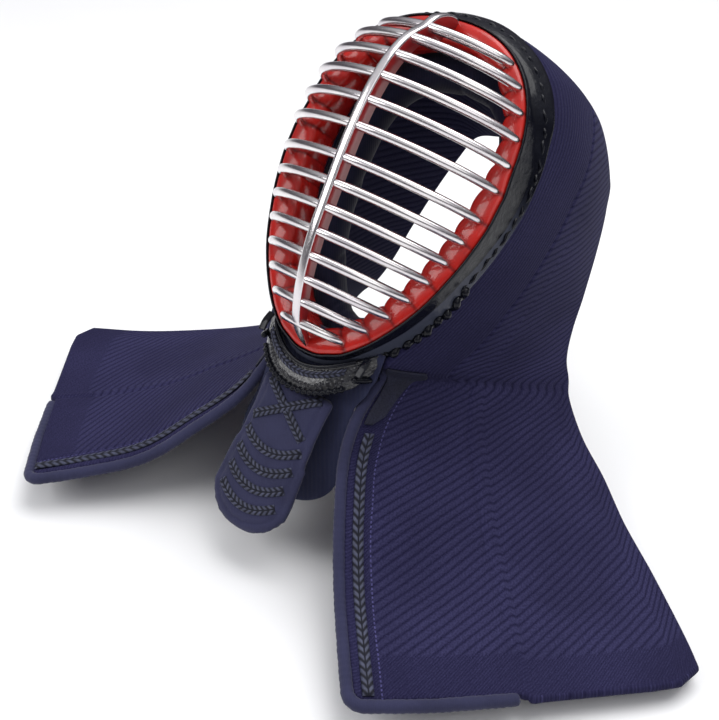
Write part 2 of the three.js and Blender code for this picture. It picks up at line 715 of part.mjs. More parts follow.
/** The padded throat flap that hangs below the chin guard. */
function throatFlap() {
  const top = -FLAP_OUTLINE[0].drop * FLAP_DROP;
  const roundTop = -FLAP_OUTLINE[FLAP_OUTLINE.length - 1].drop * FLAP_DROP;
  const pad = roundPad(flapHalf, top, -FLAP_DROP, roundTop, FLAP_THICKNESS, FLAP_EDGE_ROUNDING);
  return fromSolid(toSolid(ontoFlap(pad, 0)).subtract(toSolid(chinGuard(CLEARANCE))));
}

/** The plain inner flap behind it, which hangs further back. */
function innerFlap() {
  const half = (z) => INNER_FLAP_HALF_WIDTH * readTable(INNER_FLAP_OUTLINE, "drop", -z / INNER_FLAP_DROP, "half");
  const top = -INNER_FLAP_OUTLINE[0].drop * INNER_FLAP_DROP;
  const roundTop = -INNER_FLAP_OUTLINE[INNER_FLAP_OUTLINE.length - 1].drop * INNER_FLAP_DROP;
  const pad = roundPad(half, top, -INNER_FLAP_DROP, roundTop, INNER_FLAP_THICKNESS, INNER_FLAP_ROUNDING);
  return ontoFlap(pad, -FLAP_THICKNESS - CLEARANCE, INNER_FLAP_TILT_DEG, top - FLAP_EDGE_ROUNDING);
}

/** A flat braid along a line on the flap's front face. */
function flapBraid(line) {
  const edge = (offset) => line.map((p, i) => {
    const before = line[Math.max(i - 1, 0)];
    const after = line[Math.min(i + 1, line.length - 1)];
    const along = after.clone().sub(before).normalize();
    return p.clone().add(new THREE.Vector2(-along.y, along.x).multiplyScalar(offset));
  });
  const shape = new THREE.Shape([...edge(FLAP_BRAID_WIDTH / 2), ...edge(-FLAP_BRAID_WIDTH / 2).reverse()]);
  const strip = new THREE.ExtrudeGeometry(shape, { depth: FLAP_BRAID_THICKNESS, bevelEnabled: false });
  return strip.rotateX(Math.PI / 2).translate(0, FLAP_BRAID_THICKNESS, 0);
}

/** The crossed pair of braids, sewn together where they cross. */
function crossBraid() {
  const strips = FLAP_CROSS.map((row) => {
    const from = new THREE.Vector2(row.fromHalf * FLAP_HALF_WIDTH, -row.fromDrop * FLAP_DROP);
    const to = new THREE.Vector2(row.toHalf * FLAP_HALF_WIDTH, -row.toDrop * FLAP_DROP);
    return toSolid(flapBraid([from, to]));
  });
  return ontoFlap(fromSolid(strips[0].add(strips[1])), FLAP_BRAID_THICKNESS + CLEARANCE);
}

/** One of the curved braids below the cross. */
function curvedBraid(index) {
  const level = -FLAP_BRAID_TOP - index * FLAP_BRAID_PITCH;
  const line = [];
  const steps = 10;
  for (let i = 0; i <= steps; i++) {
    const share = (2 * i) / steps - 1;
    line.push(new THREE.Vector2(
      share * FLAP_BRAID_HALF_LENGTH, level - FLAP_BRAID_SAG * (1 - share * share)));
  }
  return ontoFlap(flapBraid(line), FLAP_BRAID_THICKNESS + CLEARANCE);
}

// Ties between the chin guard, the rim and the wings

/** Points along the rolled thong that ties the chin guard to the left wing's binding. */
function tiePoints() {
  const reach = TIE_DIAMETER / 2 + CLEARANCE + STRIP_EASE;
  const start = chinPoint(TIE_PLACE.share, TIE_PLACE.drop);
  start.y -= TIE_LIFT * reach;
  const end = midCloth(bindingStart, BINDING_DIAMETER / 2 / depthScale(bindingStart));
  const middle = start.clone().lerp(end, 0.5).add(new THREE.Vector3(TIE_BOW, -TIE_BOW, 0));
  const inwards = middle.clone().sub(end).normalize();
  end.addScaledVector(inwards, BINDING_DIAMETER / 2 + reach / 2);
  return [start, middle, end];
}

/** The thong itself, a short round tube. */
const chinTie = () => tube(new THREE.CatmullRomCurve3(tiePoints()), TIE_DIAMETER, BAR_SIDES, 5);

/** The flat strap that hangs from the black rim down to the thong. */
function chinStrap() {
  const top = chinPoint(1, 0);
  top.x += STRAP_WIDTH / 2;
  top.y -= STRAP_THICKNESS + CLEARANCE + STRIP_EASE;
  const low = tiePoints()[0];
  low.x += STRAP_WIDTH / 2;
  low.y -= STRAP_THICKNESS / 2;
  low.z += TIE_DIAMETER / 2 + 4 * STRIP_EASE;
  const half = new THREE.Vector3(STRAP_WIDTH / 2, 0, 0);
  const grid = [0, 1 / 3, 2 / 3, 1].map((share) => {
    const middle = top.clone().lerp(low, share);
    return [middle.clone().sub(half), middle.clone().add(half)];
  });
  return sheet(grid, STRAP_THICKNESS);
}

// Assembly

const upright = new THREE.Group();

/** Adds one named piece to the model. */
function add(name, geometry, finish) {
  const mesh = new THREE.Mesh(bare(geometry), finish);
  mesh.name = name;
  upright.add(mesh);
}

add("face_grille", faceGrille(), STEEL());
add("red_rim", redRim(), RED_LACQUER());
add("black_rim", blackRim(), BLACK_LACQUER());
add("face_pad", facePad(), QUILT());
add("quilted_hood", quiltedHood(), QUILT());
add("chin_guard", chinGuard(), LEATHER());
add("throat_flap", throatFlap(), BINDING());
add("inner_throat_flap", innerFlap(), QUILT());
add("flap_cross_braid", crossBraid(), BRAID());
for (let i = 0; i < FLAP_BRAID_COUNT; i++) add(`flap_braid_${i + 1}`, curvedBraid(i), BRAID());

const pairs = [
  ["wing_binding", wingBinding(), BINDING],
  ["wing_braid", wingStrip(BRAID_START, BRAID_END, [BRAID_INSET, BRAID_INSET + WING_BRAID_WIDTH], WING_BRAID_THICKNESS), BRAID],
  ["hood_patch", wingStrip(wingStart, PATCH_END, [1, PATCH_WIDTH], PATCH_THICKNESS), LEATHER],
  ["chin_tie", chinTie(), BLACK_LACQUER],
  ["chin_strap", chinStrap(), BLACK_LACQUER],
];
for (const [name, geometry, finish] of pairs) {
  add(`${name}_left`, geometry, finish());
  add(`${name}_right`, mirrorImage(geometry), finish());
}

const seated = new THREE.Group();
upright.position.set(0, -SEAT_DEPTH, -SEAT_HEIGHT);
seated.add(upright);
seated.rotation.x = -THREE.MathUtils.degToRad(LEAN_DEG);

const group = new THREE.Group();
group.add(seated);

export default group;
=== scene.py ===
"""Dresses the kendo helmet in polished steel, lacquer, leather and quilted indigo cotton.

Shapes are worked out in millimetres in an upright frame: x to the wearer's left, y backwards from
the front plane of the face ring, z up from the foot of the centre bar. Seat.place leans them back
and turns them into metres in the row frame.
"""

import logging
import math
from collections.abc import Callable, Sequence
from dataclasses import dataclass
from enum import Enum

import bmesh
import bpy
import numpy as np
from mathutils import Matrix, Vector
from mathutils.bvhtree import BVHTree


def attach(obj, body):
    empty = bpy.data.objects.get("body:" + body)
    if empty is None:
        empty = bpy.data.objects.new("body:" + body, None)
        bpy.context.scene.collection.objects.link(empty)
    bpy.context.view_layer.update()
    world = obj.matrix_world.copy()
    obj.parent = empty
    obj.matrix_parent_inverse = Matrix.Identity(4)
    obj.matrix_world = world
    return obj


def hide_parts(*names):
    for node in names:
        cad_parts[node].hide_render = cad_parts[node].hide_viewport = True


LOG = logging.getLogger("kendo_helmet")
BODY = "root"
MILLIMETRE = 0.001
HANDS = (("left", 1.0), ("right", -1.0))
EDGE_STEPS = 3
SWELL_FRAMES = 20
Piece = bpy.types.Object
Socket = bpy.types.NodeSocket
Colour = tuple[float, float, float]

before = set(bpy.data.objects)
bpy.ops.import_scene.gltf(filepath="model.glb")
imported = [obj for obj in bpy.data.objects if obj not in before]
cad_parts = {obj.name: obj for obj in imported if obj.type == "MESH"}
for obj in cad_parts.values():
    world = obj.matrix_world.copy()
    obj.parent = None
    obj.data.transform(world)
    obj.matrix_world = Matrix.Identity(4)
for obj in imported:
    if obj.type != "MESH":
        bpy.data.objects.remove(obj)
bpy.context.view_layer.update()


# Shapes shared by the sub-assemblies


@dataclass(frozen=True)
class Seat:
    """How the upright helmet sits in the row frame."""

    lean: float = math.radians(37)
    depth: float = 72.0
    height: float = 131.0

    def place(self, points: np.ndarray) -> np.ndarray:
        """Leans upright points back about the head seat.

        Args:
            points: Points in millimetres in the upright frame, last axis x, y, z.

        Returns:
            The same points in metres in the row frame.
        """
        back = points[..., 1] - self.depth
        rise = points[..., 2] - self.height
        cosine, sine = math.cos(self.lean), math.sin(self.lean)
        placed = [points[..., 0], back * cosine + rise * sine, rise * cosine - back * sine]
        return np.stack(placed, axis=-1) * MILLIMETRE

    def turn(self, direction: Sequence[float]) -> Vector:
        """Turns an upright direction into the row frame."""
        return Matrix.Rotation(-self.lean, 3, "X") @ Vector(direction)


SEAT = Seat()


def unit(vectors: np.ndarray) -> np.ndarray:
    """Scales vectors along the last axis to length one."""
    return vectors / np.maximum(np.linalg.norm(vectors, axis=-1, keepdims=True), 1e-9)


def lengths(path: np.ndarray) -> np.ndarray:
    """The distance from a path's start to each of its points."""
    return np.cumsum(np.r_[0, np.linalg.norm(np.diff(path, axis=0), axis=1)])


def taper(along: np.ndarray, places: Sequence[float], shares: Sequence[float]) -> np.ndarray:
    """Thins a path towards both ends, by the distance from the nearer end."""
    return np.interp(np.minimum(along, along[-1] - along), places, shares)


def read_path(path: np.ndarray, along: np.ndarray, even: np.ndarray) -> np.ndarray:
    """Points of a path at other distances from its start."""
    return np.stack([np.interp(even, along, path[:, k]) for k in range(3)], axis=-1)


def bell(value: np.ndarray, middle: float | np.ndarray, width: float) -> np.ndarray:
    """Rises to 1 at the middle and falls away on both sides."""
    return np.exp(-(((value - middle) / width) ** 2))


def smooth_step(value: np.ndarray, low: float, high: float) -> np.ndarray:
    """Rises smoothly from 0 at low to 1 at high."""
    share = np.clip((value - low) / (high - low), 0, 1)
    return share * share * (3 - 2 * share)


def normals_of(grid: np.ndarray) -> np.ndarray:
    """Unit normals of a grid of points, along its rows crossed with along its columns."""
    return unit(np.cross(np.gradient(grid, axis=0), np.gradient(grid, axis=1)))


def smooth_curve(points: np.ndarray, share: np.ndarray) -> np.ndarray:
    """Reads a centripetal curve through points.

    Args:
        points: The points that the curve passes through, n by 3.
        share: Places from 0 at the first point to 1 at the last.

    Returns:
        The points of the curve at those places.
    """
    padded = np.vstack([2 * points[0] - points[1], points, 2 * points[-1] - points[-2]])
    place = np.clip(np.asarray(share, float), 0, 1) * (len(points) - 1)
    first = np.minimum(place.astype(int), len(points) - 2)
    weight = (place - first)[..., None]
    a, b, c, d = (padded[first + i] for i in range(4))
    gaps = [np.sqrt(np.linalg.norm(q - p, axis=-1, keepdims=True)) for p, q in ((a, b), (b, c), (c, d))]
    tiny = 1e-4
    gap_b = np.where(gaps[1] < tiny, 1.0, gaps[1])
    gap_a = np.where(gaps[0] < tiny, gap_b, gaps[0])
    gap_c = np.where(gaps[2] < tiny, gap_b, gaps[2])
    start = ((b - a) / gap_a - (c - a) / (gap_a + gap_b) + (c - b) / gap_b) * gap_b
    end = ((c - b) / gap_b - (d - b) / (gap_b + gap_c) + (d - c) / gap_c) * gap_b
    square, cube = weight**2, weight**3
    bend = 3 * (c - b) - 2 * start - end
    twist = 2 * (b - c) + start + end
    return b + start * weight + bend * square + twist * cube


def eased_table(rows: Sequence[tuple[float, float]], place: np.ndarray) -> np.ndarray:
    """Reads a two-column table with smooth steps between its rows.

    Args:
        rows: Pairs of place and value, places rising.
        place: Where to read.

    Returns:
        The values there.
    """
    places = np.array([row[0] for row in rows])
    values = np.array([row[1] for row in rows])
    place = np.clip(place, places[0], places[-1])
    i = np.clip(np.searchsorted(places, place, side="right") - 1, 0, len(rows) - 2)
    share = (place - places[i]) / (places[i + 1] - places[i])
    return values[i] + (values[i + 1] - values[i]) * share * share * (3 - 2 * share)


@dataclass(frozen=True)
class FaceRing:
    """The oval outline that the rims and the grille follow."""

    half_width: float = 93.0
    top_rise: float = 105.5
    bottom_drop: float = 160.0
    foot_drop: float = 3.0
    top_power: float = 2.3
    bottom_power: float = 1.72

    @property
    def widest(self) -> float:
        """Height of the widest line."""
        return self.bottom_drop - self.foot_drop

    @property
    def top(self) -> float:
        """Height of the ring's top."""
        return self.widest + self.top_rise

    def point(self, angle: np.ndarray) -> np.ndarray:
        """Points of the outer edge at angles in degrees from the top towards the left."""
        turn = np.radians(angle)
        sine, cosine = np.sin(turn), np.cos(turn)
        power = 2 / np.where(cosine >= 0, self.top_power, self.bottom_power)
        rise = np.where(cosine >= 0, self.top_rise, self.bottom_drop)
        x = self.half_width * np.sign(sine) * np.abs(sine) ** power
        z = self.widest + rise * np.sign(cosine) * np.abs(cosine) ** power
        return np.stack([x, np.zeros_like(x), z], axis=-1)

    def beside(self, angle: np.ndarray, out: np.ndarray, back: np.ndarray) -> np.ndarray:
        """Points beside the edge, out in the ring's plane and back from it."""
        step = 1.5
        along = self.point(angle + step) - self.point(angle - step)
        flat = unit(np.stack([-along[..., 2], np.zeros_like(along[..., 0]), along[..., 0]], axis=-1))
        points = self.point(angle) + flat * np.asarray(out)[..., None]
        points[..., 1] = back
        return points

    def half_width_at(self, height: float, inset: float) -> float:
        """Half the width at a height, measured a distance inside the edge."""
        angles = np.linspace(1, 179, 3561)
        points = self.beside(angles, -inset * np.ones_like(angles), 0 * angles)
        return float(np.interp(-height, -points[:, 2], points[:, 0]))


RING = FaceRing()
CLOTH_THICKNESS = 7.0
RIM_DEPTH = 33.0
BAR_INSET = 4.2
HEM_SEAM = 20.5

# The tables below go by the angle in degrees from the ring's top. RIM_OUT holds shares of
# CLOTH_THICKNESS, RIM_BACK shares of RIM_DEPTH, and the others hold millimetres.
RIM_OUT = (
    (0, 2.2), (30, 1.9), (45, 1.86), (60, 1.8), (72, 1.5), (90, 1.42), (105, 1.34),
    (118, 1.32), (128, 1.6), (140, 1.65), (155, 1.45), (168, 1.1), (180, 0.9),
)
RIM_BACK = (
    (0, 0.76), (30, 0.76), (60, 0.76), (90, 0.76), (120, 0.76), (140, 0.74), (155, 0.5),
    (168, 0.22), (180, 0.14),
)
LIP_SPREAD = (
    (0, 0.0), (84, 0.0), (95, 2.2), (105, 3.7), (118, 4.3), (130, 5.0), (145, 4.6), (158, 3.9),
    (168, 1.8), (180, 0.3),
)
FOLD_OUT = (
    (0, 1.5), (55, 1.6), (72, 4.0), (82, 6.0), (106, 6.0), (118, 6.2), (130, 7.6), (155, 7.0),
    (180, 3.6),
)
FOLD_BACK = (
    (0, 4.0), (55, 5.0), (72, 14.0), (82, 20.5), (100, 20.0), (110, 17.0), (120, 13.5),
    (130, 10.5), (155, 6.0), (180, 2.4),
)


def folded_angle(angle: np.ndarray) -> np.ndarray:
    """Angles from the top, the same on both sides."""
    return np.where(angle > 180, 360 - angle, np.abs(angle))


def rim_edge(angle: np.ndarray) -> tuple[np.ndarray, np.ndarray]:
    """How far the black rim's lacing edge stands out and back from the ring."""
    folded = folded_angle(angle)
    return CLOTH_THICKNESS * eased_table(RIM_OUT, folded), RIM_DEPTH * eased_table(RIM_BACK, folded)


# Meshes


def add_object(name: str, data: bpy.types.ID) -> Piece:
    """Makes an object of a mesh, light or camera and adds it to the scene."""
    made = bpy.data.objects.new(name, data)
    bpy.context.scene.collection.objects.link(made)
    return made


def link_mesh(
    name: str, points: np.ndarray, faces: list[tuple[int, ...]], maps: dict[str, np.ndarray]
) -> Piece:
    """Makes a smooth mesh object from points in the row frame.

    Args:
        name: The object's name.
        points: Corner points in metres, n by 3.
        faces: Corner numbers of each face.
        maps: A coordinate map "cloth" (n by 2) and any other values per corner point (n).

    Returns:
        The new object.
    """
    mesh = bpy.data.meshes.new(name)
    mesh.from_pydata(points.tolist(), [], faces)
    corners = np.zeros(len(mesh.loops), int)
    mesh.loops.foreach_get("vertex_index", corners)
    for key, values in maps.items():
        if key == "cloth":
            mesh.uv_layers.new(name=key).data.foreach_set("uv", values[corners].astype(np.float32).ravel())
        else:
            mesh.attributes.new(key, "FLOAT", "POINT").data.foreach_set("value", values.astype(np.float32))
    mesh.shade_smooth()
    return add_object(name, mesh)


def grid_faces(
    rows: int, columns: int, wrap_rows: bool = False, wrap_columns: bool = False
) -> list[tuple[int, ...]]:
    """Square faces of a grid of points, which may close on itself either way."""
    down = np.arange(rows if wrap_rows else rows - 1)
    across = np.arange(columns if wrap_columns else columns - 1)
    i, j = np.meshgrid(down, across, indexing="ij")
    k, m = (i + 1) % rows, (j + 1) % columns
    corners = np.stack([i * columns + j, k * columns + j, k * columns + m, i * columns + m], axis=-1)
    return [tuple(face) for face in corners.reshape(-1, 4).tolist()]


def face_out(piece: Piece) -> Piece:
    """Turns every face of a closed mesh outwards."""
    work = bmesh.new()
    work.from_mesh(piece.data)
    bmesh.ops.recalc_face_normals(work, faces=work.faces)
    work.to_mesh(piece.data)
    work.free()
    return piece


def ring_piece(name: str, sections: np.ndarray, closed: bool, values: dict[str, np.ndarray]) -> Piece:
    """A band of closed sections, with a map of millimetres along and across it.

    Args:
        name: The object's name.
        sections: Upright points, rows by columns by 3; columns close on themselves.
        closed: Whether the rows close on themselves; otherwise both ends are capped.
        values: Values per point, rows by columns.

    Returns:
        The new object.
    """
    rows, columns = sections.shape[:2]
    along = lengths(sections.mean(axis=1))
    across = lengths(sections[0])
    cloth = np.stack(np.meshgrid(along, across, indexing="ij"), axis=-1).reshape(-1, 2) * MILLIMETRE
    faces = grid_faces(rows, columns, wrap_rows=closed, wrap_columns=True)
    if not closed:
        last = (rows - 1) * columns
        faces += [tuple(range(columns)), tuple(last + j for j in range(columns))]
    maps = {"cloth": cloth, **{key: value.reshape(-1) for key, value in values.items()}}
    return face_out(link_mesh(name, SEAT.place(sections.reshape(-1, 3)), faces, maps))


def tube_sections(
    path: np.ndarray,
    side: np.ndarray,
    widths: np.ndarray,
    depths: np.ndarray,
    corners: int,
    power: float = 1.0,
) -> np.ndarray:
    """Oval sections square to a path.

    Args:
        path: Points of the path, n by 3.
        side: A direction, or one per point, that the sections' widths lie along.
        widths: Half width at each point.
        depths: Half depth at each point.
        corners: Points in each section.
        power: Below 1 the oval grows squarer.

    Returns:
        The sections, n by corners by 3.
    """
    along = unit(np.gradient(path, axis=0))
    side = np.broadcast_to(side, path.shape)
    side = unit(side - along * np.sum(side * along, axis=1, keepdims=True))
    other = np.cross(along, side)
    turn = np.linspace(0, 2 * np.pi, corners, endpoint=False)
    cosine = np.sign(np.cos(turn)) * np.abs(np.cos(turn)) ** power
    sine = np.sign(np.sin(turn)) * np.abs(np.sin(turn)) ** power
    flat = side[:, None] * (cosine[None, :, None] * widths[:, None, None])
    return path[:, None] + flat + other[:, None] * (sine[None, :, None] * depths[:, None, None])


def index_map(rows: int, columns: int) -> np.ndarray:
    """A map that counts the points of a grid along and across it."""
    numbers = np.meshgrid(np.arange(rows), np.arange(columns), indexing="ij")
    return np.stack(numbers, axis=-1).astype(float)


def padded_sheet(
    name: str,
    outer: np.ndarray,
    thickness: float,
    cloth: np.ndarray,
    values: dict[str, np.ndarray] | None = None,
) -> Piece:
    """A closed sheet with round edges, laid inwards from its outer face.

    Args:
        name: The object's name.
        outer: Upright points of the outer face, rows by columns by 3.
        thickness: Thickness in millimetres.
        cloth: Map coordinates of the outer face in millimetres, rows by columns by 2.
        values: Values per point of the outer face.

    Returns:
        The new object.
    """
    normals = normals_of(outer)
    middle = outer - normals * thickness / 2
    rows, columns = outer.shape[:2]
    inner = middle - normals * thickness / 2
    loop = [(i, 0) for i in range(rows)]
    loop += [(rows - 1, j) for j in range(1, columns)]
    loop += [(i, columns - 1) for i in range(rows - 2, -1, -1)]
    loop += [(0, j) for j in range(columns - 2, 0, -1)]
    index = np.array(loop)
    rim_middle = middle[index[:, 0], index[:, 1]]
    rim_normal = normals[index[:, 0], index[:, 1]]
    along = unit(np.roll(rim_middle, -1, axis=0) - np.roll(rim_middle, 1, axis=0))
    outwards = unit(np.cross(along, rim_normal))
    centre = middle.reshape(-1, 3).mean(axis=0)
    if np.sum((rim_middle - centre) * outwards) < 0:
        outwards = -outwards
    turns = np.linspace(np.pi / 2, -np.pi / 2, EDGE_STEPS + 2)[1:-1]
    bulge = 0.6
    rim = [
        rim_middle + thickness / 2 * (np.sin(t) * rim_normal + bulge * np.cos(t) * outwards)
        for t in turns
    ]
    points = np.vstack([outer.reshape(-1, 3), inner.reshape(-1, 3), *rim])
    size = rows * columns
    faces = grid_faces(rows, columns)
    faces += [tuple(size + k for k in reversed(face)) for face in grid_faces(rows, columns)]
    flat = index[:, 0] * columns + index[:, 1]
    count = len(flat)
    bands = [flat, *[2 * size + k * count + np.arange(count) for k in range(EDGE_STEPS)], size + flat]
    for upper, lower in zip(bands, bands[1:]):
        for k in range(count):
            m = (k + 1) % count
            faces.append((int(upper[k]), int(lower[k]), int(lower[m]), int(upper[m])))
    face_map = cloth.reshape(-1, 2)
    spread = np.vstack([face_map, face_map, *[face_map[flat]] * EDGE_STEPS])
    maps = {"cloth": spread * MILLIMETRE}
    for key, value in (values or {}).items():
        column = value.reshape(-1)
        maps[key] = np.concatenate([column, column, *[column[flat]] * EDGE_STEPS])
    inside = np.zeros(len(points))
    inside[size:2 * size] = 1
    maps["inside"] = inside
    return face_out(link_mesh(name, SEAT.place(points), faces, maps))


def settle(piece: Piece, *nodes: str, slot: str, finish: bpy.types.Material) -> Piece:
    """Dresses a piece, hides the solids that it stands for and fixes it to the helmet.

    Args:
        piece: The finished piece, in place.
        *nodes: The solids that it stands for.
        slot: The record's material slot; not used.
        finish: Its material.

    Returns:
        The same piece.
    """
    piece.data.materials.clear()
    piece.data.materials.append(finish)
    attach(piece, BODY)
    if nodes:
        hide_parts(*nodes)
    stands_for = ", ".join(nodes) or "no solid of its own"
    LOG.info("%s: %d faces, for %s", piece.name, len(piece.data.polygons), stands_for)
    return piece


def settle_lacquered(name: str, sections: np.ndarray, *nodes: str, finish: bpy.types.Material) -> Piece:
    """Makes a thong, roll or strap of black lacquer with no painted flange reflection, and settles it."""
    piece = ring_piece(name, sections, False, {"crease": np.zeros(sections.shape[:2])})
    return settle(piece, *nodes, slot="black_lacquer", finish=finish)


def read_points(piece: Piece) -> np.ndarray:
    """A piece's points in metres, n by 3."""
    points = np.zeros(len(piece.data.vertices) * 3, np.float32)
    piece.data.vertices.foreach_get("co", points)
    return points.reshape(-1, 3)


def write_points(piece: Piece, points: np.ndarray) -> None:
    """Moves a piece's points to new places in metres."""
    piece.data.vertices.foreach_set("co", points.astype(np.float32).ravel())
    piece.data.update()


def swell(piece: Piece, voxel: float, pressure: float, cap: float) -> Piece:
    """Puffs a stuffed piece up by a short cloth simulation.

    Args:
        piece: A closed mesh, slightly smaller than the stuffed piece.
        voxel: Remesh size in metres.
        pressure: Pressure inside the cloth.
        cap: The furthest that a point may move, in metres.

    Returns:
        The piece with its final mesh.
    """
    remesh = piece.modifiers.new("even_mesh", "REMESH")
    remesh.mode = "VOXEL"
    remesh.voxel_size = voxel
    bake_modifiers(piece)
    start = read_points(piece)
    cloth = piece.modifiers.new("stuffing", "CLOTH")
    cloth.settings.use_pressure = True
    cloth.settings.uniform_pressure_force = pressure
    cloth.settings.effector_weights.gravity = 0
    cloth.point_cache.frame_start = 1
    cloth.point_cache.frame_end = SWELL_FRAMES
    scene = bpy.context.scene
    for step in range(1, SWELL_FRAMES + 1):
        scene.frame_set(step)
    bake_modifiers(piece)
    scene.frame_set(1)
    move = read_points(piece) - start
    length = np.linalg.norm(move, axis=1, keepdims=True)
    move *= np.minimum(1, cap / np.maximum(length, 1e-9))
    write_points(piece, start + move)
    fine = piece.modifiers.new("finer", "SUBSURF")
    fine.levels = fine.render_levels = 1
    bake_modifiers(piece)
    piece.data.shade_smooth()
    return piece


def bake_modifiers(piece: Piece) -> None:
    """Replaces a piece's mesh by what its modifiers make of it."""
    graph = bpy.context.evaluated_depsgraph_get()
    shaped = bpy.data.meshes.new_from_object(piece.evaluated_get(graph))
    old = piece.data
    piece.modifiers.clear()
    piece.data = shaped
    bpy.data.meshes.remove(old)


# Finishes


class Graph:
    """Adds nodes to a node tree and joins them up."""

    def __init__(self, tree: bpy.types.NodeTree) -> None:
        """Starts on a tree."""
        self.tree = tree

    def node(self, kind: str, **settings: object) -> bpy.types.Node:
        """Adds a node and sets its properties."""
        made = self.tree.nodes.new(kind)
        for key, value in settings.items():
            setattr(made, key, value)
        return made

    def put(self, socket: Socket, value: object) -> None:
        """Joins a socket to another one, or sets it to a plain value."""
        if isinstance(value, Socket):
            self.tree.links.new(value, socket)
        elif value is not None:
            socket.default_value = value

    def math(
        self, operation: str, a: object, b: object = None, c: object = None, clamp: bool = False
    ) -> Socket:
        """Adds one step of arithmetic and returns its result."""
        made = self.node("ShaderNodeMath", operation=operation, use_clamp=clamp)
        for socket, value in zip(made.inputs, (a, b, c)):
            self.put(socket, value)
        return made.outputs[0]

    def noise(self, vector: object, scale: float, detail: float = 2.0) -> Socket:
        """Adds noise and returns its value from 0 to 1."""
        made = self.node("ShaderNodeTexNoise")
        self.put(made.inputs["Vector"], vector)
        made.inputs["Scale"].default_value = scale
        made.inputs["Detail"].default_value = detail
        return made.outputs["Fac"]

    def blend(self, share: object, a: object, b: object) -> Socket:
        """Mixes two colours."""
        made = self.node("ShaderNodeMix", data_type="RGBA")
        self.put(made.inputs[0], share)
        # A Mix node keeps its two colours in inputs 6 and 7, and the mixed one in output 2.
        for number, colour in ((6, a), (7, b)):
            self.put(made.inputs[number], rgba(colour) if isinstance(colour, tuple) else colour)
        return made.outputs[2]

    def span(
        self, value: object, low: float, high: float, to_low: float = 0.0, to_high: float = 1.0
    ) -> Socket:
        """Maps a range of values smoothly to another range."""
        made = self.node("ShaderNodeMapRange", interpolation_type="SMOOTHSTEP")
        for socket, number in zip(made.inputs, (value, low, high, to_low, to_high)):
            self.put(socket, number)
        return made.outputs[0]

    def axes(self, vector: object) -> tuple[Socket, Socket, Socket]:
        """Splits a vector into x, y and z."""
        made = self.node("ShaderNodeSeparateXYZ")
        self.put(made.inputs[0], vector)
        return tuple(made.outputs)

    def group(self, effect: bpy.types.NodeTree, **values: object) -> bpy.types.Node:
        """Places an effect group with its own values; underscores stand for spaces."""
        made = self.node("ShaderNodeGroup", node_tree=effect)
        for key, value in values.items():
            self.put(made.inputs[key.replace("_", " ")], value)
        return made


def rgba(colour: tuple[float, ...]) -> tuple[float, float, float, float]:
    """A colour with full alpha."""
    return (colour[0], colour[1], colour[2], 1.0)


def effect_group(
    name: str, inputs: Sequence[tuple[str, str, float]], outputs: Sequence[tuple[str, str]]
) -> tuple[bpy.types.NodeTree, Graph, bpy.types.Node, bpy.types.Node]:
    """Starts an effect that materials share.

    Args:
        name: The group's name.
        inputs: Name, kind (Vector or Float) and first value of each input.
        outputs: Name and kind of each output.

    Returns:
        The group, its graph, and its input and output nodes.
    """
    tree = bpy.data.node_groups.new(name, "ShaderNodeTree")
    for label, kind, value in inputs:
        socket = tree.interface.new_socket(name=label, in_out="INPUT", socket_type=f"NodeSocket{kind}")
        if kind == "Float":
            socket.default_value = value
    for label, kind in outputs:
        tree.interface.new_socket(name=label, in_out="OUTPUT", socket_type=f"NodeSocket{kind}")
    graph = Graph(tree)
    return tree, graph, graph.node("NodeGroupInput"), graph.node("NodeGroupOutput")


